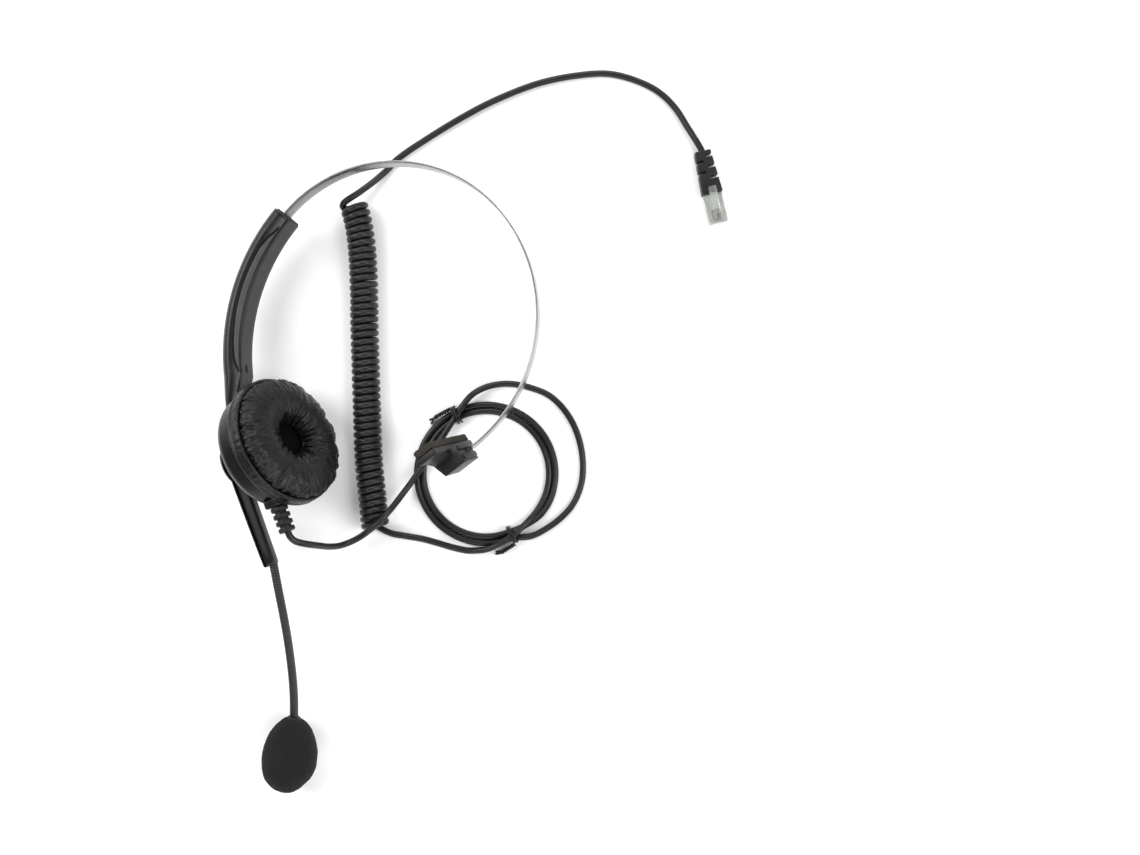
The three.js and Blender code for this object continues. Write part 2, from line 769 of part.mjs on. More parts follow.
// Microphone: +Z of its group runs from the gooseneck into the foam.
const mic = new THREE.Group();
headset.add(mic);
mic.position.set(-36.5, -97.2, 12.2);
const micAxis = new THREE.Vector3(-0.12, -0.992, -0.045).normalize();
mic.quaternion.setFromUnitVectors(new THREE.Vector3(0, 0, 1), micAxis);

add(
  mic,
  'mic_housing',
  blackMatte(),
  turned([
    [0, 0],
    [2.4, 0],
    [4.2, 2.4],
    [4.2, 12],
    [3.4, 12],
    [3.4, 7.2],
    [0, 7.2],
  ], 24),
);
add(mic, 'mic_capsule', steel(), bar(3, 7.5, 11.6, 24, 0.3));

function foamWindscreen() {
  const profile = [[4.5, 0.4]];
  const steps = 10;
  for (let k = 0; k <= steps; k += 1) {
    const angle = Math.PI * (0.1 + 0.9 * (k / steps));
    const swell = 1 - 0.1 * Math.cos(angle);
    profile.push([FOAM_RADIUS * Math.sin(angle) * swell * 0.97, (FOAM_LENGTH / 2) * (1 - Math.cos(angle))]);
  }
  profile[profile.length - 1][0] = 0;
  profile.push([0, 13]);
  profile.push([4.5, 13]);
  return turned([...profile, profile[0]], 24);
}
add(mic, 'mic_foam', foam(), foamWindscreen());

// ---------------------------------------------------------------- cord, in the lying headset
const CORD_Z = 1.4; // middle of a cord that lies on the desk
const CROSSING_Z = 4.2; // where it lies on the ring of cord
const lowerRoute = [
  [-33.5, -19.9, 34.9], [-32.7, -21.6, 34.7], [-31.2, -23.2, 33.8], [-28.8, -24.3, 31.8],
  [-26, -25.2, 28.6], [-23.4, -26.1, 24], [-20.7, -27, 18.5], [-17.3, -27.1, 13],
  [-13.5, -25.8, 10.2], [-9.7, -23.8, 11.3],
  [-5.8, -21.1, 13.7], [-1.8, -17.8, 14.2], [1.4, -14.4, 13.3], [4.5, -10.3, 9.4], [7.7, -5.6, 5.6],
  [10.9, -1.1, CROSSING_Z], [15, 4.8, CROSSING_Z], [20, 11.9, CROSSING_Z], [24.6, 19, CROSSING_Z],
  [28.7, 25.4, CROSSING_Z], [32, 30.5, CROSSING_Z], [35.6, 34.7, 4], [39.5, 37.2, 3],
  [44, 38.8, 2.1], [49, 39.5, 1.6], [54.5, 39.2, 1.5], [60.3, 37.8, 1.5],
  [67.4, 34.9, CORD_Z], [73.2, 29.8, CORD_Z],
  [77.9, 22.7, CORD_Z], [80.8, 14.7, CORD_Z], [82, 6.3, CORD_Z], [81.4, -2, CORD_Z],
  [78.1, -10.5, CORD_Z], [73.2, -16.3, CORD_Z], [67.4, -20.7, CORD_Z], [60.3, -24.5, CORD_Z],
];
const linkRoute = [
  [37.4, -30.5, CORD_Z], [32.6, -30.3, CORD_Z], [26.3, -28.8, CORD_Z], [14.6, -25.2, CORD_Z],
  [7.5, -24.3, 1.5], [3, -24.5, 2.4], [-0.1, -25.1, 3.6], [-2.3, -25.5, 4.6],
];
const COIL_Z = CURLY_DIAMETER / 2;
const curlyRoute = [
  [-12.8, 112.7, COIL_Z], [-11.4, 106.9, COIL_Z], [-9.8, 96.1, COIL_Z], [-8.9, 78.3, COIL_Z],
  [-8.7, 62.9, COIL_Z], [-8.1, 43, COIL_Z], [-7.7, 29.3, COIL_Z], [-6.9, 7.3, COIL_Z],
  [-5.2, -9.7, COIL_Z], [-4.1, -21.3, COIL_Z],
];
const upperRoute = [
  [-14.2, 114.9, 4.8], [-13.2, 118.1, 3.2], [-10.5, 121.4, 1.8], [-6.7, 124.7, CORD_Z], [-2.5, 128.5, CORD_Z],
  [3.9, 133.2, CORD_Z], [18, 142.9, CORD_Z], [34.7, 152.9, CORD_Z], [47.3, 159.2, CORD_Z],
  [64, 165.5, CORD_Z], [80.8, 168.8, CORD_Z], [93.4, 169.3, CORD_Z], [105.9, 165.9, CORD_Z],
  [114.3, 161.3, CORD_Z], [120.6, 155, 1.6], [125.9, 146.4, 2.4], [129.6, 140, 3], [131.4, 136.6, 3.1],
];
add(headset, 'cord_lower', cordJacket(), tube(lowerRoute, CORD_DIAMETER, CORD_SIDES, 44));
add(headset, 'cord_link', cordJacket(), tube(linkRoute, CORD_DIAMETER, CORD_SIDES, 9));
add(headset, 'cord_upper', cordJacket(), tube(upperRoute, CORD_DIAMETER, CORD_SIDES, 24));
add(headset, 'curly_cord', cordJacket(), tube(curlyRoute, CURLY_DIAMETER, 12, 12));

const RING_HALF = 2.8;
add(
  headset,
  'cord_ring',
  cordJacket(),
  turnedRing([
    [RING_RADIUS - RING_HALF, 0.7],
    [RING_RADIUS - RING_HALF + 0.7, 0.05],
    [RING_RADIUS + RING_HALF - 0.7, 0.05],
    [RING_RADIUS + RING_HALF, 0.7],
    [RING_RADIUS + RING_HALF, 2],
    [RING_RADIUS + RING_HALF - 0.7, 2.75],
    [RING_RADIUS - RING_HALF + 0.7, 2.75],
    [RING_RADIUS - RING_HALF, 2],
  ], 40).translate(RING_CENTRE.x, RING_CENTRE.y, 0),
);

const TIE_DIAMETER = 1.2;
add(
  headset,
  'twist_tie_upper',
  blackMatte(),
  tube(
    [
      [29.7, 18.9, 0.8], [29.7, 19.5, 3], [29.3, 21.3, 6.4], [28.3, 24.7, 7.2], [26.9, 28.9, 6.4],
      [25.7, 31.3, 3.2], [23.7, 31.7, 1.4], [17.6, 26.3, 0.8],
    ],
    TIE_DIAMETER, 8, 16,
  ),
);
add(
  headset,
  'twist_tie_lower',
  blackMatte(),
  tube(
    [
      [51, -17.9, 0.8], [51.3, -19.3, 2.6], [52.2, -21.7, 3.9], [53.5, -25.3, 3.9], [54.5, -28.7, 2.6],
      [53.6, -30.5, 1.2], [45.7, -31.9, 0.8],
    ],
    TIE_DIAMETER, 8, 14,
  ),
);

// ---------------------------------------------------------------- plug
// Plug frame: origin where the cord enters the boot, +X towards the nose, +Z up, resting on its flat side.
const plug = new THREE.Group();
headset.add(plug);
plug.position.set(131.7, 136.2, 3.1);
plug.rotation.z = radians(-76.5);

const BOOT_LENGTH = 18;
const BOOT_ROOT = [3.3, 2.4]; // half width and half height at the cord
const BOOT_END = [4.3, 2.7]; // the same at the plug
const PLUG_WIDTH = 7.65;
const PLUG_HEIGHT = 6;
const PLUG_LENGTH = 11.9;
const CONTACT_PITCH = 1.02;

function plugBoot() {
  const shape = new THREE.Shape([
    new THREE.Vector2(0, -BOOT_ROOT[0]),
    new THREE.Vector2(BOOT_LENGTH, -BOOT_END[0]),
    new THREE.Vector2(BOOT_LENGTH, BOOT_END[0]),
    new THREE.Vector2(0, BOOT_ROOT[0]),
  ]);
  const depth = 2 * BOOT_END[1];
  const body = new THREE.ExtrudeGeometry(shape, { depth, bevelEnabled: false }).translate(0, 0, -BOOT_END[1]);
  const tools = [];
  for (let k = 0; k < 5; k += 1) {
    const x = 1.7 + 2.3 * k;
    const side = k % 2 === 0 ? 1 : -1;
    tools.push(box(x, x + 1.1, side > 0 ? 0.7 : -5, side > 0 ? 5 : -0.7, -4, 4));
  }
  return cut(body, ...tools);
}
add(plug, 'plug_boot', blackMatte(), plugBoot());

function plugBody() {
  const start = BOOT_LENGTH + GAP;
  const half = PLUG_WIDTH / 2;
  const body = box(start, start + PLUG_LENGTH, -half, half, -PLUG_HEIGHT / 2, PLUG_HEIGHT / 2 - 1.8);
  const slots = [];
  for (let k = 0; k < 4; k += 1) {
    const y = (k - 1.5) * CONTACT_PITCH;
    slots.push(box(start + PLUG_LENGTH - 5.6, start + PLUG_LENGTH - 1, y - 0.4, y + 0.4, -4, 0.2));
  }
  return cut(body, ...slots);
}
add(plug, 'plug_body', clearPlastic(), plugBody());

for (let k = 0; k < 4; k += 1) {
  const y = (k - 1.5) * CONTACT_PITCH;
  const x = BOOT_LENGTH + GAP + PLUG_LENGTH;
  add(plug, `plug_contact_${k + 1}`, brass(), box(x - 5.3, x - 1.3, y - 0.15, y + 0.15, -2.8, -0.1));
}

// The latch is sprung from the plug's nose and its tail stands up over the boot's end.
function plugLatch() {
  const x = BOOT_LENGTH + GAP + PLUG_LENGTH;
  const base = PLUG_HEIGHT / 2 - 1.8 + GAP;
  const outline = [
    [x - 0.6, base],
    [x - 0.6, base + 0.7],
    [x - 4, base + 1.9],
    [x - 4, base + 2.4],
    [x - 5.4, base + 2.5],
    [x - 14.6, base + 4.1],
    [x - 14.6, base + 3.2],
    [x - 5.4, base + 1.6],
    [x - 2.2, base],
  ];
  return plate(outline, -1.6, 1.6).rotateX(Math.PI / 2);
}
add(plug, 'plug_latch', clearPlastic(), plugLatch());

export default headset;
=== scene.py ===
"""Office headset lying on its side on a desk: its looks, built round the frame that the CAD made."""
import json
import math
import random

import bmesh
import bpy
import numpy as np
from mathutils import Matrix, Vector, noise


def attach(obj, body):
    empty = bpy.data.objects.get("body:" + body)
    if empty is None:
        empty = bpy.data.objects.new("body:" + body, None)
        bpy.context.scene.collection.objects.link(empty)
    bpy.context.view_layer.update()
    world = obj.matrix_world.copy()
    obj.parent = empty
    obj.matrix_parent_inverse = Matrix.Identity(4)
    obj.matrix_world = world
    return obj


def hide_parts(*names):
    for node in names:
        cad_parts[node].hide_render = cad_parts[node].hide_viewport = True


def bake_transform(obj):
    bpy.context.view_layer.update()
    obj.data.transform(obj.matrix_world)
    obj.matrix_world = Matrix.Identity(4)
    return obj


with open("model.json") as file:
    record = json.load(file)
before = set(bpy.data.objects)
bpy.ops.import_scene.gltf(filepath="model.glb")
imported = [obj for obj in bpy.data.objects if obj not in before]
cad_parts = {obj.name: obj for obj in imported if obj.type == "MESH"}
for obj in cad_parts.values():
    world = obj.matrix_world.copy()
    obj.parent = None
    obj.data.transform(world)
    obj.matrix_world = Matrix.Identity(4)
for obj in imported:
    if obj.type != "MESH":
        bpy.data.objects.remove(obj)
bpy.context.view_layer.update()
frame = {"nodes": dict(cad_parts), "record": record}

MM = 0.001  # every length below is in millimetres, and becomes metres as a mesh is made
TAU = 6.283
radians = math.radians


# ------------------------------------------------------------------ camera
camera_data = bpy.data.cameras.new("camera")
camera_data.sensor_width = 36
camera_data.lens = 37.59
camera = bpy.data.objects.new("camera", camera_data)
camera.location = (0.0766, 0.0212, 0.5)
bpy.context.scene.collection.objects.link(camera)
bpy.context.scene.camera = camera


# ------------------------------------------------------------------ frames shared with the CAD
def basis(origin, x, y, z):
    matrix = Matrix((Vector(x), Vector(y), Vector(z))).transposed().to_4x4()
    matrix.translation = Vector(origin)
    return matrix


SWIVEL = (-49.6, 10.1, 19)
BAND_NORMAL = Vector((-0.116, 0.0524, 1)).normalized()
HEADING = radians(22)
CUP_TILT = radians(23.5)
ARM_RADIUS = 85
ARM_END = 61.7
CROWN_RADIUS = 57.8
SIDE_RADIUS = 65.2
CROWN_END = 17.5
STRIP_END = -76.5
BAND_EXIT = Vector((45.5, 86.2))

towards_head = Vector((math.cos(HEADING), math.sin(HEADING), 0))
towards_head.z = -towards_head.dot(BAND_NORMAL) / BAND_NORMAL.z
towards_head.normalize()
up_the_arm = BAND_NORMAL.cross(towards_head)
ROW = Matrix.Identity(4)
BAND = basis(SWIVEL, towards_head, up_the_arm, BAND_NORMAL)
CUP = BAND @ basis(
    (0, 0, 0),
    (0, 1, 0),
    (-math.sin(CUP_TILT), 0, math.cos(CUP_TILT)),
    (math.cos(CUP_TILT), 0, math.sin(CUP_TILT)),
)
exit_normal = Vector((math.sin(radians(90 - ARM_END)), -math.cos(radians(90 - ARM_END))))
ARM_CENTRE = BAND_EXIT + ARM_RADIUS * exit_normal
CROWN_CENTRE = BAND_EXIT + CROWN_RADIUS * exit_normal
bend_meet = Vector((math.cos(radians(CROWN_END)), math.sin(radians(CROWN_END))))
SIDE_CENTRE = CROWN_CENTRE + (CROWN_RADIUS - SIDE_RADIUS) * bend_meet
pad_out = Vector((math.cos(radians(STRIP_END)), math.sin(radians(STRIP_END))))
pad_back = Vector((-pad_out.y, pad_out.x))
pad_origin = SIDE_CENTRE + SIDE_RADIUS * pad_out
PAD = BAND @ basis(
    (pad_origin.x, pad_origin.y, 0), (pad_out.x, pad_out.y, 0), (pad_back.x, pad_back.y, 0), (0, 0, 1)
)
MIC_AXIS = Vector((-0.12, -0.992, -0.045)).normalized()
MIC = (
    Matrix.Translation((-36.5, -97.2, 12.2))
    @ Vector((0, 0, 1)).rotation_difference(MIC_AXIS).to_matrix().to_4x4()
)
PLUG = Matrix.Translation((131.7, 136.2, 3.1)) @ Matrix.Rotation(radians(-76.5), 4, "Z")


def arm_point(degrees, radius):
    angle = radians(degrees)
    return ARM_CENTRE.x - radius * math.cos(angle), ARM_CENTRE.y + radius * math.sin(angle)


# ------------------------------------------------------------------ materials
class Graph:
    """A material's nodes, with the principled shader as its output."""

    def __init__(self, name):
        self.material = bpy.data.materials.new(name)
        self.material.use_nodes = True
        self.tree = self.material.node_tree
        self.shader = self.tree.nodes["Principled BSDF"]
        self.place = self.add("ShaderNodeTexCoord").outputs["Object"]

    def add(self, kind, inputs=None, **settings):
        node = self.tree.nodes.new(kind)
        for key, value in settings.items():
            setattr(node, key, value)
        for key, value in (inputs or {}).items():
            if isinstance(value, bpy.types.NodeSocket):
                self.tree.links.new(value, node.inputs[key])
            else:
                node.inputs[key].default_value = value
        return node

    def set(self, **values):
        for key, value in values.items():
            self.shader.inputs[key.replace("_", " ")].default_value = value

    def noise(self, size, detail=3.0, vector=None, distortion=0.0, roughness=0.55):
        """Noise whose features are about size millimetres across."""
        inputs = {
            "Vector": vector or self.place,
            "Scale": 1 / (size * MM),
            "Detail": detail,
            "Roughness": roughness,
            "Distortion": distortion,
        }
        return self.add("ShaderNodeTexNoise", inputs).outputs["Fac"]

    def cells(self, size, feature="F1", vector=None):
        inputs = {"Vector": vector or self.place, "Scale": 1 / (size * MM)}
        node = self.add("ShaderNodeTexVoronoi", inputs, feature=feature)
        return node.outputs["Distance"]

    def spread(self, value, low, high, start=0.3, end=0.7):
        inputs = {"Value": value, "From Min": start, "From Max": end, "To Min": low, "To Max": high}
        return self.add("ShaderNodeMapRange", inputs, clamp=True).outputs["Result"]

    def mix(self, share, a, b):
        node = self.add("ShaderNodeMix", data_type="RGBA")
        self.tree.links.new(share, node.inputs["Factor"])
        node.inputs["A"].default_value = (*a, 1)
        node.inputs["B"].default_value = (*b, 1)
        return node.outputs["Result"]

    def total(self, a, b, share):
        return self.add("ShaderNodeMath", {0: b, 1: share, 2: a}, operation="MULTIPLY_ADD").outputs["Value"]

    def colour(self, socket):
        self.tree.links.new(socket, self.shader.inputs["Base Color"])

    def rough(self, socket):
        self.tree.links.new(socket, self.shader.inputs["Roughness"])

    def bump(self, height, strength, distance):
        inputs = {"Height": height, "Strength": strength, "Distance": distance * MM}
        node = self.add("ShaderNodeBump", inputs)
        self.tree.links.new(node.outputs["Normal"], self.shader.inputs["Normal"])


def moulded(name, dark, light, rough_low, rough_high, grain, depth, specular=0.5, patch=7.0):
    """Moulded plastic or rubber: faint mottling, a fine spark grain and uneven gloss."""
    g = Graph(name)
    g.colour(g.mix(g.spread(g.noise(patch, 5), 0, 1), dark, light))
    smears = g.noise(patch * 0.6, 4, distortion=0.6)
    g.rough(g.spread(smears, rough_low, rough_high))
    g.bump(g.total(g.noise(grain, 2), g.noise(grain * 6, 2), 0.6), 0.35, depth)
    g.set(Specular_IOR_Level=specular)
    return g.material


def metal(name, dark, light, rough_low, rough_high, along, across, depth):
    """Drawn or turned metal: fine lines along the mesh's UV, with uneven gloss."""
    g = Graph(name)
    uv = g.add("ShaderNodeTexCoord").outputs["UV"]
    lines_at = g.add("ShaderNodeMapping", {"Vector": uv, "Scale": (along, across, 1)}).outputs["Vector"]
    lines = g.add("ShaderNodeTexNoise", {"Vector": lines_at, "Scale": 1.0, "Detail": 4.0}).outputs["Fac"]
    g.colour(g.mix(g.spread(lines, 0, 1), dark, light))
    g.rough(g.spread(g.total(lines, g.noise(4.0, 3), 0.35), rough_low, rough_high, 0.4, 0.9))
    g.bump(lines, 0.3, depth)
    g.set(Metallic=1.0, Anisotropic=0.4)
    return g.material


def plated(name, dark, light, rough_low, rough_high):
    g = Graph(name)
    g.colour(g.mix(g.spread(g.noise(1.5, 4), 0, 1), dark, light))
    g.rough(g.spread(g.noise(0.5, 3, distortion=0.4), rough_low, rough_high))
    g.bump(g.noise(0.2, 2), 0.2, 0.01)
    g.set(Metallic=1.0)
    return g.material


def leatherette():
    """Soft black leatherette: small pebbled grain, fine creases with painted shade in their valleys, and a
    slight sheen.
    """
    g = Graph("leatherette")
    wander = g.add("ShaderNodeTexNoise", {"Vector": g.place, "Scale": 900.0}).outputs["Color"]
    bent = g.add("ShaderNodeVectorMath", {0: wander, 1: (0.0004,) * 3, 2: g.place}, operation="MULTIPLY_ADD")
    bent = bent.outputs["Vector"]
    pebbles = g.cells(0.42, "DISTANCE_TO_EDGE", bent)
    creases = g.noise(1.8, 5, distortion=1.2, roughness=0.7)
    # Painted shade: the colour follows the crease height, so the crease valleys are darker.
    g.colour(g.mix(g.spread(creases, 0, 1), (0.002, 0.002, 0.0023), (0.005, 0.005, 0.0056)))
    g.rough(g.spread(g.noise(2.6, 4), 0.24, 0.4))
    g.bump(g.total(g.spread(pebbles, 0, 1, 0.0, 0.25), creases, 1.1), 0.32, 0.09)
    g.set(Specular_IOR_Level=0.3, Sheen_Weight=0.01, Sheen_Roughness=0.4)
    return g.material


def foamed(name, dark, light, pore, depth):
    """Open foam: pores in a matt surface, with painted shade darkening their bottoms."""
    g = Graph(name)
    pores = g.cells(pore)
    fuzz = g.noise(pore * 1.7, 4)
    height = g.total(pores, fuzz, 0.7)
    # Painted shade: the colour follows the height, so the pore bottoms are darker.
    g.colour(g.mix(g.spread(height, 0, 1, 0.35, 1.0), dark, light))
    g.rough(g.spread(fuzz, 0.85, 1.0))
    g.bump(height, 0.8, depth)
    g.set(Specular_IOR_Level=0.15, Sheen_Weight=0.02, Sheen_Roughness=0.6)
    return g.material


def clear(name):
    g = Graph(name)
    g.colour(g.mix(g.spread(g.noise(3.0, 2), 0, 1), (0.86, 0.88, 0.86), (0.93, 0.94, 0.92)))
    g.rough(g.spread(g.noise(1.2, 3), 0.05, 0.16))
    g.bump(g.noise(0.8, 2), 0.15, 0.02)
    g.set(IOR=1.58, Transmission_Weight=0.92)
    return g.material


def woven(name, dark, light, pitch):
    """A plain open weave in the part's own X and Y, with painted shade in the gaps between threads."""
    g = Graph(name)
    threads = {"Vector": g.place, "Scale": 1 / (pitch * MM) / TAU, "Distortion": 0.4}
    warp = g.add("ShaderNodeTexWave", threads)
    weft = g.add("ShaderNodeTexWave", threads, bands_direction="Y")
    height = g.add(
        "ShaderNodeMath", {0: warp.outputs["Fac"], 1: weft.outputs["Fac"]}, operation="MULTIPLY"
    ).outputs["Value"]
    # Painted shade: the colour follows the weave's height, so the gaps between threads are darker.
    g.colour(g.mix(g.spread(height, 0, 1, 0.1, 0.8), dark, light))
    g.rough(g.spread(height, 0.95, 0.8))
    g.bump(height, 0.7, 0.08)
    g.set(Specular_IOR_Level=0.05)
    return g.material


SATIN = moulded(
    "satin_black_plastic", (0.003, 0.003, 0.0036), (0.005, 0.005, 0.006),
    0.28, 0.38, 0.16, 0.012, 0.3,
)
SIDE = moulded(
    "fine_textured_black", (0.006, 0.006, 0.0068), (0.0095, 0.0095, 0.011),
    0.36, 0.5, 0.22, 0.03, 0.4,
)
MATTE = moulded(
    "matte_black_plastic", (0.005, 0.005, 0.0055), (0.008, 0.008, 0.0088),
    0.48, 0.62, 0.3, 0.04, 0.35,
)
RUBBER = moulded(
    "soft_black_rubber", (0.005, 0.005, 0.0055), (0.008, 0.008, 0.0088),
    0.4, 0.55, 0.25, 0.03, 0.35,
)
CORD = moulded(
    "cord_jacket", (0.0075, 0.0075, 0.009), (0.0115, 0.0115, 0.0135),
    0.32, 0.44, 0.35, 0.03, 0.34, 12.0,
)
NECK = moulded("gooseneck_coat", (0.006, 0.006, 0.007), (0.01, 0.01, 0.0115), 0.28, 0.4, 0.2, 0.02, 0.45, 4.0)
STRIP_STEEL = metal("strip_steel", (0.16, 0.163, 0.167), (0.34, 0.345, 0.35), 0.2, 0.34, 1.5, 160, 0.01)
PLATED = plated("plated_steel", (0.4, 0.41, 0.43), (0.58, 0.59, 0.61), 0.25, 0.4)
BLACKENED = plated("blackened_steel", (0.012, 0.012, 0.013), (0.022, 0.022, 0.024), 0.35, 0.5)
GOLD = plated("gold_plate", (0.7, 0.5, 0.2), (0.9, 0.7, 0.35), 0.18, 0.3)
LEATHER = leatherette()
MIC_FOAM = foamed("windscreen_foam", (0.003, 0.003, 0.003), (0.013, 0.013, 0.0135), 0.32, 0.16)
TEMPLE_FOAM = foamed("temple_foam", (0.012, 0.0095, 0.0075), (0.042, 0.036, 0.03), 0.4, 0.18)
CLEAR = clear("clear_plastic")
CLOTH = woven("acoustic_cloth", (0.0015, 0.0015, 0.0015), (0.004, 0.004, 0.004), 0.25)


# ------------------------------------------------------------------ mesh helpers
def mark_sharp(bm, degrees):
    for face in bm.faces:
        face.smooth = True
    limit = radians(degrees)
    for edge in bm.edges:
        edge.smooth = len(edge.link_faces) != 2 or edge.calc_face_angle(0) < limit


def dress(name, mesh, body, material, cad=()):
    mesh.materials.clear()
    mesh.materials.append(material)
    obj = bpy.data.objects.new(name, mesh)
    bpy.context.scene.collection.objects.link(obj)
    if body:
        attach(obj, body)
    if cad:
        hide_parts(*cad)
    return obj


def mesh_of(name, shells, place=ROW, sharp=40):
    """One mesh from (points, faces) shells, given in a frame in millimetres."""
    bm = bmesh.new()
    for points, faces in shells:
        made = [bm.verts.new((place @ Vector(p)) * MM) for p in points]
        for face in faces:
            if len(set(face)) == len(face):
                bm.faces.new([made[k] for k in face])
    bmesh.ops.remove_doubles(bm, verts=bm.verts, dist=1e-6)
    bmesh.ops.dissolve_degenerate(bm, edges=bm.edges, dist=1e-7)
    bmesh.ops.recalc_face_normals(bm, faces=bm.faces)
    mark_sharp(bm, sharp)
    mesh = bpy.data.meshes.new(name)
    bm.to_mesh(mesh)
    bm.free()
    return mesh


def loft(rings, ring_closed=True, loop=False, caps=True):
    points = [p for ring in rings for p in ring]
    n = len(rings[0])
    faces = []
    for a in range(len(rings) if loop else len(rings) - 1):
        b = (a + 1) % len(rings)
        for k in range(n if ring_closed else n - 1):
            m = (k + 1) % n
            faces.append((a * n + k, a * n + m, b * n + m, b * n + k))
    if caps and not loop:
        faces.append(tuple(reversed(range(n))))
        faces.append(tuple((len(rings) - 1) * n + k for k in range(n)))
    return points, faces


def turned(profile, sides=96, closed=False, shape=None):
    """A shell turned about +Z from (radius, height) points. shape(angle, r, z) may move a point."""
    rings = []
    for k in range(sides):
        angle = 2 * math.pi * k / sides
        ring = []
        for r, z in profile:
            if shape:
                r, z = shape(angle, r, z)
            ring.append((r * math.cos(angle), r * math.sin(angle), z))
        rings.append(ring)
    return loft(rings, ring_closed=closed, loop=True)


def rounded(profile, radius, steps=3, closed=False):
    """The profile with its corners rounded by short arcs of about that radius."""
    out = []
    n = len(profile)
    for k, point in enumerate(profile):
        p = Vector(point)
        if not closed and k in (0, n - 1):
            out.append(tuple(p))
            continue
        a, b = Vector(profile[k - 1]), Vector(profile[(k + 1) % n])
        cut = min(radius, (a - p).length * 0.45, (b - p).length * 0.45)
        start, end = p + (a - p).normalized() * cut, p + (b - p).normalized() * cut
        for m in range(steps + 1):
            t = m / steps
            out.append(tuple(start * (1 - t) ** 2 + p * (2 * t * (1 - t)) + end * t * t))
    return out


def crisp(node, material, width, name=None, body=None):
    """A CAD piece with its edges rounded, standing for that piece."""
    body = body or next(b for b, members in frame["record"]["behaviour"]["bodies"].items() if node in members)
    mesh = frame["nodes"][node].data.copy()
    bm = bmesh.new()
    bm.from_mesh(mesh)
    bmesh.ops.remove_doubles(bm, verts=bm.verts, dist=2e-6)
    bmesh.ops.dissolve_limit(bm, angle_limit=radians(1.0), verts=bm.verts, edges=bm.edges)
    edges = [e for e in bm.edges if len(e.link_faces) == 2 and e.calc_face_angle(0) > radians(28)]
    bmesh.ops.bevel(
        bm, geom=edges, offset=width * MM, offset_type="OFFSET", segments=2, profile=0.6,
        affect="EDGES", clamp_overlap=True,
    )
    bmesh.ops.remove_doubles(bm, verts=bm.verts, dist=1e-6)
    mark_sharp(bm, 42)
    bm.to_mesh(mesh)
    bm.free()
    return dress(name or node + "_finished", mesh, body, material, (node,))


def smooth_line(points, spacing):
    """Points every spacing millimetres along a smooth curve through the given ones."""
    pts = [Vector(p) for p in points]
    fine = []
    for k in range(len(pts) - 1):
        p1, p2 = pts[k], pts[k + 1]
        p0 = pts[k - 1] if k else p1 * 2 - p2
        p3 = pts[k + 2] if k + 2 < len(pts) else p2 * 2 - p1
        t1 = (p1 - p0).length ** 0.5
        t2 = t1 + (p2 - p1).length ** 0.5
        t3 = t2 + (p3 - p2).length ** 0.5
        for m in range(12):
            t = t1 + (t2 - t1) * m / 12
            a1 = p0 * ((t1 - t) / t1) + p1 * (t / t1)
            a2 = p1 * ((t2 - t) / (t2 - t1)) + p2 * ((t - t1) / (t2 - t1))
            a3 = p2 * ((t3 - t) / (t3 - t2)) + p3 * ((t - t2) / (t3 - t2))
            b1 = a1 * ((t2 - t) / t2) + a2 * (t / t2)
            b2 = a2 * ((t3 - t) / (t3 - t1)) + a3 * ((t - t1) / (t3 - t1))
            fine.append(b1 * ((t2 - t) / (t2 - t1)) + b2 * ((t - t1) / (t2 - t1)))
    fine.append(pts[-1])
    return spaced(fine, spacing)


def spaced(points, spacing):
    lengths = [0.0]
    for a, b in zip(points, points[1:]):
        lengths.append(lengths[-1] + (b - a).length)
    count = max(2, round(lengths[-1] / spacing))
    out, k = [], 0
    for m in range(count + 1):
        at = lengths[-1] * m / count
        while k < len(points) - 2 and lengths[k + 1] < at:
            k += 1
        part = (at - lengths[k]) / max(lengths[k + 1] - lengths[k], 1e-9)
        out.append(points[k].lerp(points[k + 1], min(max(part, 0), 1)))
    return out


def tube(points, radius, sides=16, turn=0.0):
    """A shell round a line. radius is a number, or a function of (distance, angle)."""
    n = len(points)
    tangents = [(points[min(k + 1, n - 1)] - points[max(k - 1, 0)]).normalized() for k in range(n)]
    side = tangents[0].orthogonal().normalized()
    rings, distance = [], 0.0
    for k in range(n):
        if k:
            distance += (points[k] - points[k - 1]).length
        side = (side - tangents[k] * side.dot(tangents[k])).normalized()
        other = tangents[k].cross(side)
        ring = []
        for m in range(sides):
            angle = 2 * math.pi * m / sides + turn * distance
            r = radius(distance, angle) if callable(radius) else radius
            ring.append(points[k] + (side * math.cos(angle) + other * math.sin(angle)) * r)
        rings.append(ring)
    return loft(rings)


def roughen(mesh, amount, size, seed=0.0):
    """Moves each point along its normal by noise of that size."""
    offset = Vector((seed, seed * 0.7, seed * 1.3))
    normals = [v.normal.copy() for v in mesh.vertices]
    for vertex, normal in zip(mesh.vertices, normals):
        place = vertex.co / (size * MM) + offset
        vertex.co += normal * (noise.noise(place) + 0.5 * noise.noise(place * 2.3)) * amount * MM


# ------------------------------------------------------------------ the cord, from the cup to the plug
CORD_DIAMETER = 2.7
CORD_Z = 1.41
CROSSING_Z = 4.2
RING_CENTRE = Vector((41.5, 1.8))
RING_OUTER, RING_INNER = 28.98, 26.28
RELIEF_START, RELIEF_SIDE, RELIEF_AT = -24.3, 9.4, 9.6
COIL_RADIUS = 4.55
COIL_Z = 5.98
COIL_TURNS = 46.25
COIL_SWELL = 1.04


def in_cup(x, y, z):
    return CUP @ Vector((x, y, z))


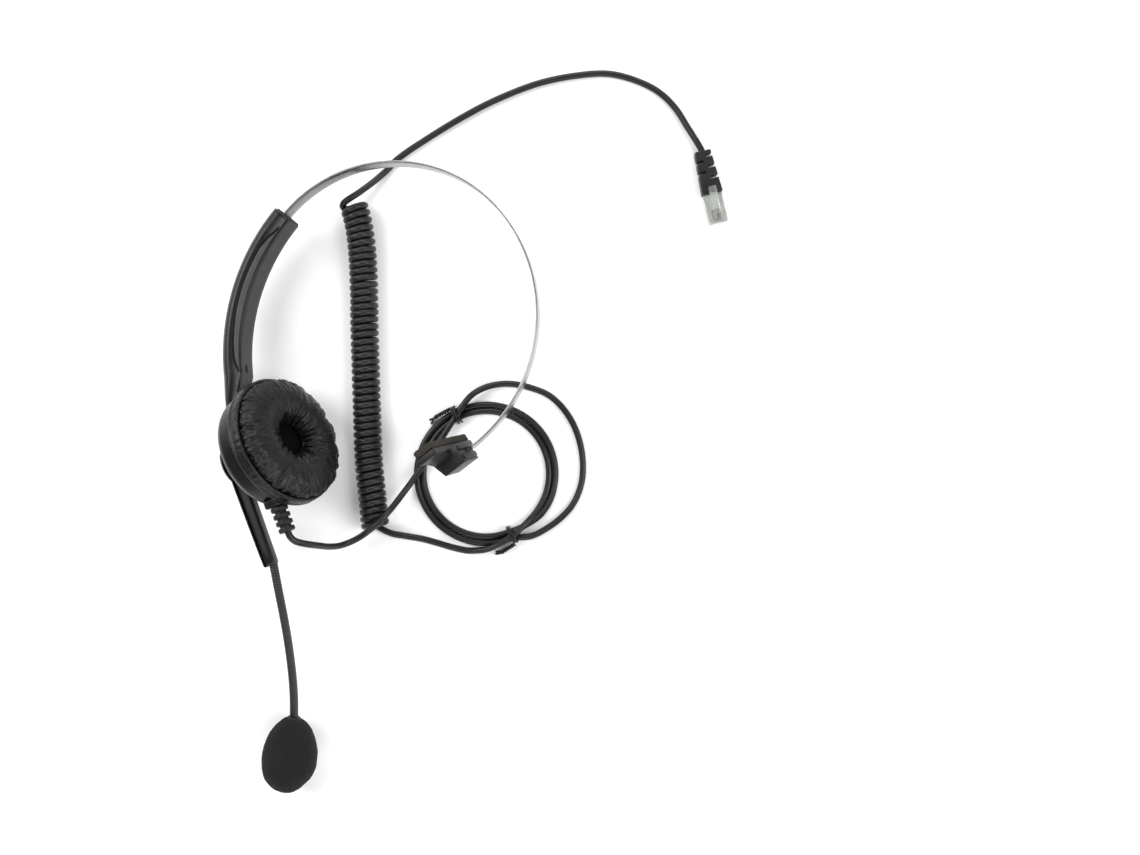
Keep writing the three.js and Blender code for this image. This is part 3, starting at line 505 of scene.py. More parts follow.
lower_route = [
    in_cup(RELIEF_START - 3, RELIEF_SIDE, RELIEF_AT), in_cup(RELIEF_START - 6, RELIEF_SIDE, RELIEF_AT),
    in_cup(RELIEF_START - 9, RELIEF_SIDE, RELIEF_AT),
    (-32.7, -21.6, 34.7), (-31.2, -23.2, 33.8), (-28.8, -24.3, 31.8), (-26, -25.2, 28.6), (-23.4, -26.1, 24),
    (-20.7, -27, 18.5), (-17.3, -27.1, 13), (-13.5, -25.8, 10.2), (-9.7, -23.8, 11.3), (-5.8, -21.1, 13.7),
    (-1.8, -17.8, 14.2), (1.4, -14.4, 13.3), (4.5, -10.3, 9.4), (7.7, -5.6, 5.6), (10.9, -1.1, CROSSING_Z),
    (15, 4.8, CROSSING_Z), (20, 11.9, CROSSING_Z), (24.6, 19, CROSSING_Z), (28.7, 25.4, CROSSING_Z),
    (32, 30.5, CROSSING_Z), (35.6, 34.7, 4), (39.5, 37.2, 3), (44, 38.8, 2.1), (49, 39.5, 1.6),
    (54.5, 39.2, 1.5), (60.3, 37.8, 1.5), (67.4, 34.9, CORD_Z), (73.2, 29.8, CORD_Z),
    (77.9, 22.7, CORD_Z), (80.8, 14.7, CORD_Z), (82, 6.3, CORD_Z), (81.4, -2, CORD_Z), (78.1, -10.5, CORD_Z),
    (73.2, -16.3, CORD_Z), (67.4, -20.7, CORD_Z), (60.3, -24.3, CORD_Z),
]


def on_ring(degrees, radius, z=CORD_Z):
    angle = radians(degrees)
    return Vector((RING_CENTRE.x + radius * math.cos(angle), RING_CENTRE.y + radius * math.sin(angle), z))


def ease(t):
    t = min(max(t, 0), 1)
    return t * t * (3 - 2 * t)


RING_FROM = -68
RING_TURNS = 2
RING_STEP = 5  # degrees
ring_route = []
for step in range(RING_TURNS * 360 // RING_STEP - 5):
    turned_by = step * RING_STEP
    inwards = ease((turned_by - 318) / 42)
    radius = RING_OUTER + (RING_INNER - RING_OUTER) * inwards
    radius += 0.05 * math.sin(radians(turned_by * 1.7)) * (1 if turned_by < 340 else 0.6)
    ring_route.append(on_ring(RING_FROM - turned_by, radius))
link_route = [
    on_ring(-46, 26.4, 1.7), on_ring(-55, 26.8, 2.9), on_ring(-64, 27.6, 4.0), on_ring(-73, 28.8, CROSSING_Z),
    on_ring(-82, 30.2, 4.1), on_ring(-90, 31.5, 3.0), on_ring(-97, 32.3, 1.9), on_ring(-104, 33.1, 1.5),
    (26.6, -28.8, CORD_Z), (20.6, -27.0, CORD_Z),
    (14.6, -25.4, CORD_Z), (7.5, -24.2, CORD_Z), (2.4, -23.3, CORD_Z), (-0.9, -22, CORD_Z),
]
curly_route = [
    (-4.2, -20.2, COIL_Z), (-5.2, -9.7, COIL_Z), (-6.9, 7.3, COIL_Z), (-7.7, 29.3, COIL_Z),
    (-8.1, 43, COIL_Z), (-8.7, 62.9, COIL_Z), (-8.9, 78.3, COIL_Z), (-9.8, 96.1, COIL_Z),
    (-11.4, 106.9, COIL_Z), (-13.2, 113.6, COIL_Z),
]


def coil(points, radius, turns, each=16):
    """Right-handed turns round a line, from underneath it, slightly uneven as a used curly cord is."""
    line = smooth_line(points, 0.5)
    out = []
    count = int(turns * each)
    for k in range(count + 1):
        t = k / count
        turn = turns * t
        uneven = 0.04 * math.sin(turn * 0.9) + 0.03 * math.sin(turn * 2.3 + 1)
        along = t + uneven / turns * ease(6 * t) * ease(6 * (1 - t))
        at = along * (len(line) - 1)
        low = min(int(at), len(line) - 2)
        centre = line[low].lerp(line[low + 1], at - low)
        tangent = (line[low + 1] - line[low]).normalized()
        side = tangent.cross(Vector((0, 0, 1))).normalized()
        up = side.cross(tangent)
        angle = math.pi + 2 * math.pi * turn
        swell = radius * (1 + 0.006 * math.sin(turn * 1.3))
        out.append(centre + side * (math.sin(angle) * swell) + up * (math.cos(angle) * swell))
    return out


upper_route = [
    (-17.1, 113.9, 7.7), (-14.9, 115.4, 8.6), (-11.9, 117.6, 7.5), (-8.8, 120.5, 5.2), (-5.8, 123.4, 3.3),
    (-2.7, 126.4, 2.0), (0.4, 129.4, 1.5), (3.9, 133.2, CORD_Z), (18, 142.9, CORD_Z), (34.7, 152.9, CORD_Z),
    (47.3, 159.2, CORD_Z), (64, 165.5, CORD_Z), (80.8, 168.8, CORD_Z), (93.4, 169.3, CORD_Z),
    (105.9, 165.9, CORD_Z), (114.3, 161.3, CORD_Z), (120.6, 155, 1.6), (125.9, 146.4, 2.4),
    (129.6, 140.3, 3), PLUG @ Vector((-0.5, 0, 0)), PLUG @ Vector((4, 0, 0)),
]
coil_line = coil(curly_route, COIL_RADIUS, COIL_TURNS)
JOIN = 8  # coil points shared with the plain cord at each end, so that the two meet smoothly
into_coil = coil_line[0:JOIN + 1:4]
out_of_coil = coil_line[-1 - JOIN::4]
cord_line = smooth_line([*lower_route, *ring_route[::3], *link_route, *into_coil], 1.3)
coil_from = len(cord_line)
cord_line += coil_line[JOIN + 1:-1 - JOIN]
coil_to = len(cord_line)
cord_line += smooth_line([*out_of_coil, *upper_route], 1.3)
for point in cord_line:
    point.z = max(point.z, CORD_Z)
CORD_LENGTH = sum((b - a).length for a, b in zip(cord_line, cord_line[1:]))
print("cord length", round(CORD_LENGTH), "points", len(cord_line))

cord_data = bpy.data.curves.new("cord", "CURVE")
cord_data.dimensions = "3D"
cord_data.bevel_depth = CORD_DIAMETER / 2 * MM
cord_data.bevel_resolution = 4
cord_data.use_fill_caps = True
spline = cord_data.splines.new("POLY")
spline.points.add(len(cord_line) - 1)
for point, at in zip(spline.points, cord_line):
    point.co = (*(at * MM), 1)
for point in spline.points[coil_from:coil_to]:
    point.radius = COIL_SWELL
spline.use_smooth = True
cord_data.materials.append(CORD)
cord = bpy.data.objects.new("cord", cord_data)
bpy.context.scene.collection.objects.link(cord)
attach(cord, "ear_cup")
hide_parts("cord_lower", "cord_ring", "cord_link", "curly_cord", "cord_upper")


# ------------------------------------------------------------------ twist ties
def wrap(degrees, shift, high, lean=0.0):
    """One arch of wire over the ring's cords, standing on the desk inside and outside the ring."""
    arch = [(24.1, 0.6), (24.0, 2.2), (24.9, high - 1.3), (26.3, high - 0.2), (28, high), (29.7, high - 0.5),
            (30.9, high - 2.2), (31.2, 2.0), (31.1, 0.6)]
    middle = 27.6
    along = Vector((-math.sin(radians(degrees)), math.cos(radians(degrees)), 0))
    return [on_ring(degrees, r, z) + along * (shift + lean * (r - middle)) for r, z in arch]


def tie(name, node, wraps, twist_from, twist_to, ends):
    """A plastic-coated wire wound over the cords, its ends twisted together and left open."""
    shells = [tube(smooth_line(line, 0.35), 0.45, 12) for line in wraps]
    start, end = Vector(twist_from), Vector(twist_to)
    way = (end - start).normalized()
    side = way.cross(Vector((0, 0, 1))).normalized()
    up = side.cross(way)
    twists, steps, reach = 2.6, 48, 0.5
    for sign in (1, -1):
        line = []
        for k in range(steps + 1):
            angle = 2 * math.pi * twists * k / steps
            at = start.lerp(end, k / steps)
            line.append(at + (side * math.cos(angle) + up * math.sin(angle)) * reach * sign)
        line += [Vector(ends[0 if sign > 0 else 1])]
        shells.append(tube(smooth_line(line[::3] + [line[-1]], 0.3), 0.45, 10))
    return dress(name, mesh_of(name, shells), "ear_cup", RUBBER, (node,))


upper_tie = tie(
    "tie_upper", "twist_tie_upper",
    [wrap(116, 0, 6.3, 0.15), wrap(116, 1.0, 6.4, 0.05), wrap(116, 0.3, 6.9, -0.2)],
    (26.6, 28.8, 4.4), (20.6, 25.7, 1.5), [(17.6, 24.4, 0.7), (18.5, 22.7, 0.7)],
)
lower_tie = tie(
    "tie_lower", "twist_tie_lower",
    [wrap(-68, 0, 6.3, 0.1), wrap(-68, 1.0, 6.4, 0.15)],
    (53.4, -27.6, 2.4), (48.2, -31.0, 1.2), [(45.4, -31.9, 0.6), (45.8, -30.8, 0.7)],
)


# ------------------------------------------------------------------ plug
plug_parts = [
    crisp("plug_boot", RUBBER, 0.3),
    crisp("plug_body", CLEAR, 0.12),
    crisp("plug_latch", CLEAR, 0.12, name="plug_latch_finished"),
]
plug_parts += [crisp(f"plug_contact_{k}", GOLD, 0.05) for k in (1, 2, 3, 4)]
relief_profile = [(1.45, 0)]
RIB_PITCH = 2.85
for rib in range(4):
    outer = 3.45 - 0.06 * rib
    at = rib * RIB_PITCH
    relief_profile += [(outer - 0.25, at), (outer, at + 0.3), (outer, at + 1.5), (outer - 0.25, at + 1.8)]
    if rib < 3:
        relief_profile += [(2.3, at + 1.95), (2.3, at + RIB_PITCH - 0.1)]
relief_profile.append((1.45, 3 * RIB_PITCH + 1.85))


def relief_shell():
    points, faces = turned(rounded(relief_profile, 0.22, 2, closed=True), 40, closed=True)
    return [(RELIEF_START - z, RELIEF_SIDE + x, RELIEF_AT + y) for x, y, z in points], faces


relief = dress(
    "strain_relief", mesh_of("strain_relief", [relief_shell()], CUP), "ear_cup", RUBBER,
    ("cup_strain_relief",),
)


# ------------------------------------------------------------------ ear cup
FLANGE_AT = 13.2


def housing():
    outside = [(0, 5), (9.8, 5), (9.8, 2.6), (21, 2.6), (23, 3.5), (24, 5.6), (24, FLANGE_AT - 0.3)]
    inside = [(22.4, FLANGE_AT - 0.3), (22.4, 6.4), (20.2, 4.2), (11.4, 4.2), (11.4, 6.6), (0, 6.6)]
    shell = turned(rounded(outside + inside, 0.8, 4), 144)
    groove = turned([(12, 2.9), (12, 2.4), (12.4, 2.15), (17.6, 2.15), (18, 2.4), (18, 2.9)], 96, closed=True)
    eye = []
    for side in (-2.6, 2.6):
        ring = [(side, 3, 5.6), (side, 3, 0)]
        ring += [(side, 3 * math.cos(a), -3 * math.sin(a)) for a in np.linspace(0, math.pi, 17)[1:-1]]
        ring += [(side, -3, 0), (side, -3, 5.6)]
        eye.append(ring)
    return mesh_of("cup_shell", [shell, groove, loft(eye)], CUP)


def bevel_edges(mesh, width, above=30, segments=3):
    bm = bmesh.new()
    bm.from_mesh(mesh)
    edges = [e for e in bm.edges if len(e.link_faces) == 2 and e.calc_face_angle(0) > radians(above)]
    bmesh.ops.bevel(
        bm, geom=edges, offset=width * MM, offset_type="OFFSET", segments=segments, profile=0.5,
        affect="EDGES", clamp_overlap=True,
    )
    mark_sharp(bm, 42)
    bm.to_mesh(mesh)
    bm.free()
    return mesh


def block(x0, x1, y0, y1, z0, z1):
    ring = [(x0, y0), (x1, y0), (x1, y1), (x0, y1)]
    return loft([[(x, y, z0) for x, y in ring], [(x, y, z1) for x, y in ring]])


dress("cup_shell", bevel_edges(housing(), 0.3), "ear_cup", SATIN, ("cup_housing",))
boss_block = block(-24.05, -20.6, RELIEF_SIDE - 4.4, RELIEF_SIDE + 4.2, 6.2, FLANGE_AT - 0.3)
boss = mesh_of("cord_boss", [boss_block], CUP)
dress("cord_boss", bevel_edges(boss, 0.8), "ear_cup", SATIN)


def skirt_shape(angle, r, z):
    """Small upright folds where the leatherette skirt is drawn over the flange."""
    share = ease((r - 24.6) / 1.2) * ease((z - FLANGE_AT - 0.9) / 1.2)
    fold = noise.noise(Vector((math.cos(angle) * 19, math.sin(angle) * 19, z * 0.35)))
    fine = noise.noise(Vector((math.cos(angle) * 46, math.sin(angle) * 46, z * 0.8)))
    return r + (0.2 * fold + 0.16 * fine) * share, z


def skirt():
    rise = [
        (20.6, 0), (25.4, 0), (25.95, 0.08), (26.35, 0.32), (26.45, 0.75), (26.3, 1.1), (26.12, 1.4),
        (26.1, 1.9), (26.16, 2.5), (26.18, 3.1), (26.16, 3.7), (26.05, 4.25), (25.8, 4.7), (25.4, 4.95),
        (24.95, 4.9), (24.6, 4.6), (24.4, 4.1), (24.2, 3.5), (20.6, 3.4),
    ]
    profile = [(r, FLANGE_AT + z) for r, z in rise]
    return mesh_of("cushion_skirt", [turned(profile, 540, closed=True, shape=skirt_shape)], CUP, 60)


dress("cushion_skirt", skirt(), "ear_cup", LEATHER, ("cushion_ring",))


def pleats(count, seed, width_low, width_high, depth_low, depth_high):
    """Folds at uneven places round a ring: (angle, half width in radians, depth, lean)."""
    draw = random.Random(seed)
    out = []
    for k in range(count):
        angle = 2 * math.pi * (k + draw.uniform(-0.42, 0.42)) / count
        width = draw.uniform(width_low, width_high)
        depth = draw.uniform(depth_low, depth_high)
        out.append((angle, width, depth, draw.uniform(-0.5, 0.5)))
    return out


def fold_depth(folds, angle, across):
    """How far a surface is drawn in at each angle, by sharp valleys that lean as they run across it."""
    total = np.zeros_like(angle)
    for at, width, depth, lean in folds:
        off = (angle - at - lean * across + math.pi) % (2 * math.pi) - math.pi
        total += depth * np.exp(-np.abs(off / width) ** 1.15)
    return total


def eased(values):
    t = np.clip(values, 0, 1)
    return t * t * (3 - 2 * t)


CUSHION_BASE = 17.1
CLOTH_FRAMES = 20
CUSHION_OUTLINE = [
    (24.9, 17.9), (25.5, 18.7), (25.6, 19.5), (25.2, 20.4), (24.2, 21.2), (22.2, 22.1), (20.2, 22.7),
    (18.2, 23.2), (16.2, 23.5), (14.2, 23.5), (12.2, 23.2), (10.2, 22.6), (8.4, 21.6), (7.1, 20.6),
    (6.4, 19.6), (6.2, 18.6), (6.6, 17.8),
]


def cushion():
    """The ear cushion: blown up by a cloth simulation from a slack ring, then drawn into folds."""
    base = CUSHION_BASE
    profile = [(9.4, base + 0.2), (13.5, base), (17.5, base), (21.5, base), (24.0, base + 0.2)]
    fixed = len(profile)
    outline = smooth_line([(r, z, 0) for r, z in CUSHION_OUTLINE], 0.62)
    profile += [(p.x, p.y) for p in outline]
    sides = 300
    enlarge = 10.0  # the cloth is simulated this many times full size
    points, faces = turned(profile, sides, closed=True)
    mesh = bpy.data.meshes.new("ear_cushion_soft")
    mesh.from_pydata([tuple(Vector(p) * MM * enlarge) for p in points], [], faces)
    obj = bpy.data.objects.new("ear_cushion_soft", mesh)
    bpy.context.scene.collection.objects.link(obj)
    bm = bmesh.new()
    bm.from_mesh(mesh)
    bmesh.ops.recalc_face_normals(bm, faces=bm.faces)
    bm.to_mesh(mesh)
    bm.free()
    start = np.array([v.co for v in mesh.vertices])
    group = obj.vertex_groups.new(name="held")
    n = len(profile)
    held = [k for k in range(len(points)) if k % n < fixed + 1 or k % n == n - 1]
    group.add(held, 1.0, "REPLACE")
    cloth = obj.modifiers.new("cloth", "CLOTH")
    cloth.settings.quality = 6
    cloth.settings.mass = 0.2
    cloth.settings.tension_stiffness = 12
    cloth.settings.compression_stiffness = 12
    cloth.settings.shear_stiffness = 4
    cloth.settings.bending_stiffness = 0.15
    cloth.settings.use_pressure = True
    cloth.settings.uniform_pressure_force = 4
    cloth.settings.shrink_min = -0.07
    cloth.settings.vertex_group_mass = "held"
    cloth.settings.effector_weights.gravity = 0
    cloth.collision_settings.use_collision = False
    cloth.point_cache.frame_start = 1
    cloth.point_cache.frame_end = CLOTH_FRAMES
    for number in range(1, CLOTH_FRAMES + 1):
        bpy.context.scene.frame_set(number)
    graph = bpy.context.evaluated_depsgraph_get()
    done = np.array([v.co for v in obj.evaluated_get(graph).data.vertices])
    obj.modifiers.clear()
    obj.vertex_groups.clear()
    bpy.context.scene.frame_set(1)
    moved = done - start
    size = np.linalg.norm(moved, axis=1, keepdims=True)
    cap = 1.1 * MM * enlarge  # no point moves further than this
    print("cushion moved up to", round(float(size.max()) / enlarge / MM, 2), "mm")
    done = start + moved * np.minimum(1, cap / np.maximum(size, 1e-9))
    for vertex, co in zip(mesh.vertices, done):
        vertex.co = co
    smoother = obj.modifiers.new("finer", "SUBSURF")
    smoother.levels = smoother.render_levels = 1
    graph = bpy.context.evaluated_depsgraph_get()
    fine = bpy.data.meshes.new_from_object(obj.evaluated_get(graph))
    obj.modifiers.clear()
    n = len(fine.vertices)
    places, normals = np.empty(n * 3), np.empty(n * 3)
    fine.vertices.foreach_get("co", places)
    fine.vertices.foreach_get("normal", normals)
    places, normals = places.reshape(-1, 3) / (MM * enlarge), normals.reshape(-1, 3)
    r, z = np.hypot(places[:, 0], places[:, 1]), places[:, 2]
    angle = np.arctan2(places[:, 1], places[:, 0])
    at_groove = eased((r - 20.5) / 3.5) * eased((23.2 - z) / 3.5)
    at_lip = eased((14.5 - r) / 5.0) * eased((z - 17.2) / 2.5)
    on_top = eased((z - 19.6) / 2.2)
    depth = fold_depth(pleats(104, 11, 0.009, 0.02, 0.3, 0.85), angle, (25 - z) * 0.012) * at_groove
    depth += fold_depth(pleats(34, 23, 0.035, 0.08, 0.5, 1.25), angle, (r - 12) * 0.03) * at_lip
    depth += fold_depth(pleats(30, 29, 0.015, 0.03, 0.2, 0.5), angle, (r - 12) * 0.04) * at_lip
    depth += fold_depth(pleats(58, 37, 0.007, 0.016, 0.06, 0.3), angle, (r - 16) * 0.035) * on_top
    swell = np.array([noise.noise(Vector(p) * 0.16) for p in places])
    crumple = np.array([noise.noise(Vector(p) * 0.7) for p in places])
    places += normals * (0.25 * swell + 0.1 * crumple - depth)[:, None]
    fine.vertices.foreach_set("co", (places * MM * enlarge).ravel())
    fine.transform(Matrix.Scale(1 / enlarge, 4))
    fine.transform(metres(CUP))
    bpy.data.objects.remove(obj)
    bm = bmesh.new()
    bm.from_mesh(fine)
    mark_sharp(bm, 85)
    bm.to_mesh(fine)
    bm.free()
    fine.name = "ear_cushion_soft"
    return dress("ear_cushion_soft", fine, "ear_cup", LEATHER, ("ear_cushion",))


def metres(matrix):
    """The same frame with its origin in metres."""
    out = matrix.copy()
    out.translation = matrix.translation * MM
    return out


cushion()


# ------------------------------------------------------------------ adjuster arm
ARM_THICKNESS = 8.8  # what the heights in arm_section are drawn for; a thinner station scales them
# The seam along each side: (degrees round the arm, distance outside ARM_RADIUS)
SEAM = [
    (15.2, -3.9), (16.6, -2.6), (19, -1.6), (23, -1.15), (31, -0.75), (39, -0.6),
    (46, -0.75), (51, -0.95), (54.5, -1.9), (57, -3.1), (58.6, -4.0),
]


def seam_at(degrees):
    if not SEAM[0][0] <= degrees <= SEAM[-1][0]:
        return None
    for (a, u), (b, v) in zip(SEAM, SEAM[1:]):
        if a <= degrees <= b:
            return u + (v - u) * (degrees - a) / (b - a)


def arm_section(outer, inner, half, seam, tuck=0.0):
    """The arm's section, outer to inner: a crowned back, a ridge along each side, flat sides."""
    o, i = Vector(outer), Vector(inner)
    thick = (o - i).length

    def at(u, w):  # u from the inner face, w across the band
        p = i + (o - i) * (u / thick)
        return p.x, p.y, w

    k = thick / ARM_THICKNESS
    groove = 0.34 * thick / ARM_THICKNESS if seam is None else (seam + 4.2) * thick / ARM_THICKNESS
    depth = 0.0 if seam is None else 0.5
    side = [
        (ARM_THICKNESS * k, 0), (8.78 * k, half * 0.2), (8.7 * k, half * 0.38), (8.5 * k, half * 0.54),
        (8.1 * k, half * 0.68), (7.5 * k, half * 0.8), (6.8 * k, half * 0.9), (6.1 * k, half * 0.965),
        (5.5 * k, half * 0.995), (5.0 * k, half),
    ]
    flat_start, flat_end = 5.0 * k, 0.55 * k
    middle = min(max(groove, flat_end + 0.4), flat_start - 0.4)

    def face(u):  # the side leans in a little from the ridge to the inner edge
        share = (flat_start - u) / (flat_start - flat_end)
        return half * (1 - 0.055 * share - 0.03 * math.sin(math.pi * share))

    for share in (0.25, 0.5, 0.75):
        u = flat_start + (middle + 0.3 - flat_start) * share
        side.append((u, face(u)))
    for off, drop in ((0.3, 0), (0.22, 0.08), (0.14, 1), (-0.14, 1), (-0.22, 0.08), (-0.3, 0)):
        side.append((middle + off, face(middle + off) - depth * drop))
    for share in (0.35, 0.7, 1.0):
        u = middle - 0.3 + (flat_end - middle + 0.3) * share
        side.append((u, face(u)))
    edge = face(flat_end)
    side += [(0.3 * k, edge - 0.12), (0.1 * k, edge - 0.4), (0, edge - 0.8), (0, half * 0.5), (0, half * 0.2)]
    ring = [at(u, w) for u, w in side]
    ring.append(at(0, 0))
    ring += [at(u, -w) for u, w in reversed(side[1:])]
    if tuck:
        centre = Vector(at(4.4 * k, 0))
        ring = [tuple(centre + (Vector(p) - centre) * tuck) for p in ring]
    return ring


ARM_OUTER_R, ARM_INNER_R = ARM_RADIUS + 4.6, ARM_RADIUS - 4.2
# Stations from the hub to the arm's top: (outer point, inner point, half width, seam position or None)
arm_stations = [
    ((-7, 1), (-3.4, 1), 4.6, None), ((-7, 5), (-3.3, 5), 5.6, None), ((-6.8, 9), (-2.7, 8.6), 6.1, None),
    ((-6.2, 14), (-1.9, 13.3), 6.4, None), ((-4.9, 20), (-0.4, 18.8), 6.6, None),
    ((-3.6, 25), (2.1, 23.2), 6.8, None),
]
for k in range(0, 81):
    degrees = 14.6 + (ARM_END - 14.6) * k / 80
    outer, inner = arm_point(degrees, ARM_OUTER_R), arm_point(degrees, ARM_INNER_R)
    arm_stations.append((outer, inner, 7.0, seam_at(degrees)))


def arm_shell():
    rings = [arm_section(*station) for station in arm_stations]
    high, low = ARM_OUTER_R - 0.4, ARM_INNER_R + 0.4
    nose = (arm_point(ARM_END + 0.25, high), arm_point(ARM_END + 0.25, low), 6.65, None)
    rings.append(arm_section(*nose))
    rings.append(arm_section(*nose, tuck=0.86))
    inset = (arm_point(ARM_END - 1.2, high), arm_point(ARM_END - 1.2, low), 6.65, None)
    rings.append(arm_section(*inset, tuck=0.84))
    hub = turned(rounded([(0, -7), (7.6, -7), (7.6, -3), (0, -3)], 0.9, 4), 96)
    hub = ([(z, x, y) for x, y, z in hub[0]], hub[1])
    shells = [loft(rings), hub]
    for at in (4.4, -4.4):
        ear = []
        for side in (at - 1.5, at + 1.5):
            ring = [(-3.6, side, 3), (0, side, 3)]
            ring += [(3 * math.sin(a), side, 3 * math.cos(a)) for a in np.linspace(0, math.pi, 17)[1:-1]]
            ring += [(0, side, -3), (-3.6, side, -3)]
            ear.append(ring)
        shells.append(loft(ear))
    return mesh_of("arm_shell", shells, BAND, 50)


dress("arm_shell", arm_shell(), "arm", SATIN, ("arm_outer_shell", "arm_inner_cover"))


def screw(name, node, head_radius, place, body):
    """A small pan-head screw, its head at the place's origin and +Z outwards."""
    head = turned(
        rounded([(0, -1.2), (head_radius * 0.5, -1.2), (head_radius * 0.5, -0.35), (head_radius, -0.35),
                 (head_radius, 0.1), (head_radius * 0.75, 0.35), (0, 0.45)], 0.12, 2), 48
    )
    return dress(name, mesh_of(name, [head], place), body, BLACKENED, (node,))


crisp("arm_end_bush", MATTE, 0.2)
crisp("swivel_pin", PLATED, 0.25)
screw_at = arm_point(16.5, ARM_INNER_R + 0.1)
screw_out = Vector((ARM_CENTRE.x - screw_at[0], ARM_CENTRE.y - screw_at[1], 0)).normalized()
screw_place = BAND @ basis((*screw_at, 0), (0, 0, 1), Vector((0, 0, 1)).cross(screw_out) * -1, screw_out)
screw("arm_screw_head", "arm_screw", 2.0, screw_place, "arm")


# ------------------------------------------------------------------ headband strip
def strip_line():
    """(point, outward direction, half width) along the strip, in the band frame."""
    out = []

    def arc(centre, radius, start, end, steps, half):
        for k in range(steps + 1):
            angle = radians(start + (end - start) * k / steps)
            way = Vector((math.cos(angle), math.sin(angle)))
            out.append((centre + radius * way, way, half))

    arc(ARM_CENTRE, ARM_RADIUS, 180 - 30, 180 - ARM_END, 40, 4)
    arc(CROWN_CENTRE, CROWN_RADIUS, 180 - ARM_END - 0.5, CROWN_END, 120, 4)
    arc(SIDE_CENTRE, SIDE_RADIUS, CROWN_END - 0.5, STRIP_END + 2.2, 110, 4)
    for back, half in ((1.8, 3.2), (1.2, 2.7), (0.4, 2.5), (-9.6, 2.5), (-10.4, 2.1), (-10.6, 1.5)):
        out.append((pad_origin + pad_back * back, pad_out, half))
    return out


def strip():
    rings, along = [], [0.0]
    line = strip_line()
    t = 0.4  # half the steel's thickness
    for k, (p, way, half) in enumerate(line):
        if k:
            along.append(along[-1] + (p - line[k - 1][0]).length)
        section = [
            (t, half - 0.28), (t * 0.7, half - 0.08), (0, half), (-t * 0.7, half - 0.08), (-t, half - 0.28),
            (-t, half * 0.4), (-t, -half * 0.4), (-t, -half + 0.28), (-t * 0.7, -half + 0.08), (0, -half),
            (t * 0.7, -half + 0.08), (t, -half + 0.28), (t, -half * 0.4), (t, half * 0.4),
        ]
        rings.append([(p.x + way.x * u, p.y + way.y * u, w) for u, w in section])
    points, faces = loft(rings)
    mesh = bpy.data.meshes.new("headband")
    mesh.from_pydata([tuple((BAND @ Vector(p)) * MM) for p in points], [], faces)
    uv = mesh.uv_layers.new(name="along")
    n = len(rings[0])
    for face in mesh.polygons:
        columns = [mesh.loops[m].vertex_index % n for m in face.loop_indices]
        for loop in face.loop_indices:
            vertex = mesh.loops[loop].vertex_index
            column = vertex % n
            if face.loop_total == 4 and column == 0 and n - 1 in columns:
                column = n
            uv.data[loop].uv = (along[vertex // n] / 10, column / n)
    bm = bmesh.new()
    bm.from_mesh(mesh)
    bmesh.ops.recalc_face_normals(bm, faces=bm.faces)
    mark_sharp(bm, 50)
    bm.to_mesh(mesh)
    bm.free()
    return mesh


dress("headband", strip(), "headband", STRIP_STEEL, ("headband_strip",))
crisp("strip_stop", MATTE, 0.2)


# ------------------------------------------------------------------ temple pad
RIVET_BACK = -7.9
PAD_LEAN = radians(13)
LEANING = (
    PAD @ Matrix.Translation((0, RIVET_BACK, 0)) @ Matrix.Rotation(PAD_LEAN, 4, "X")
    @ Matrix.Translation((0, -RIVET_BACK, 0))
)
PLATE_IN, BLOCK_IN, BLOCK_OUT = -5.6, -3.2, 4.2


def upright_slab(x_low, x_high, half_width, half_length, corner):
    """A slab with rounded ends, its long side along the pad, centred on the rivet."""
    outline = []
    for cy, cz, start in ((1, 1, 0), (-1, 1, 90), (-1, -1, 180), (1, -1, 270)):
        for k in range(5):
            angle = radians(start + 22.5 * k)
            outline.append((
                cy * (half_width - corner) + corner * math.cos(angle) + RIVET_BACK,
                cz * (half_length - corner) + corner * math.sin(angle),
            ))
    return loft([[(x_low, y, z) for y, z in outline], [(x_high, y, z) for y, z in outline]])


def holder():
    """The temple pad's holder: a plate, a socket block with two lips, and a hollow slope between them."""
    plate = upright_slab(PLATE_IN, BLOCK_IN + 0.1, 4.5, 19.4, 1.2)
    block_ring = [
        (BLOCK_IN - 0.6, -0.4), (BLOCK_OUT, -0.4), (BLOCK_OUT, -10.9), (BLOCK_IN, -13.2),
        (BLOCK_IN - 0.6, -12),
    ]
    block_shell = loft([[(x, y, z) for x, y in block_ring] for z in (-7, 7)])
    lips = []
    for low, high in ((-3.2, -0.75), (0.75, 3.4)):
        lip = [(low, -1), (high, -1), (high - 0.35, 0.5), (low + 0.35, 0.5)]
        lips.append(loft([[(x, y, z) for x, y in lip] for z in (-5.9, 5.9)]))
    slope = [(BLOCK_IN - 0.3, 17.2)]
    for k in range(13):
        t = k / 12
        slope.append((BLOCK_IN + 2.4 * t ** 2.2, 17.2 - 10.3 * t))
    side = slope + [(x, -z) for x, z in reversed(slope)]
    web = loft([[(x, y, z) for x, z in side] for y in (RIVET_BACK - 4.2, RIVET_BACK + 4.2)])
    return bevel_edges(mesh_of("temple_holder_finished", [plate, block_shell, web, *lips], LEANING, 32), 0.32)


dress("temple_holder_finished", holder(), "temple_pad", SIDE, ("temple_holder",))
crisp("temple_rivet", PLATED, 0.15)


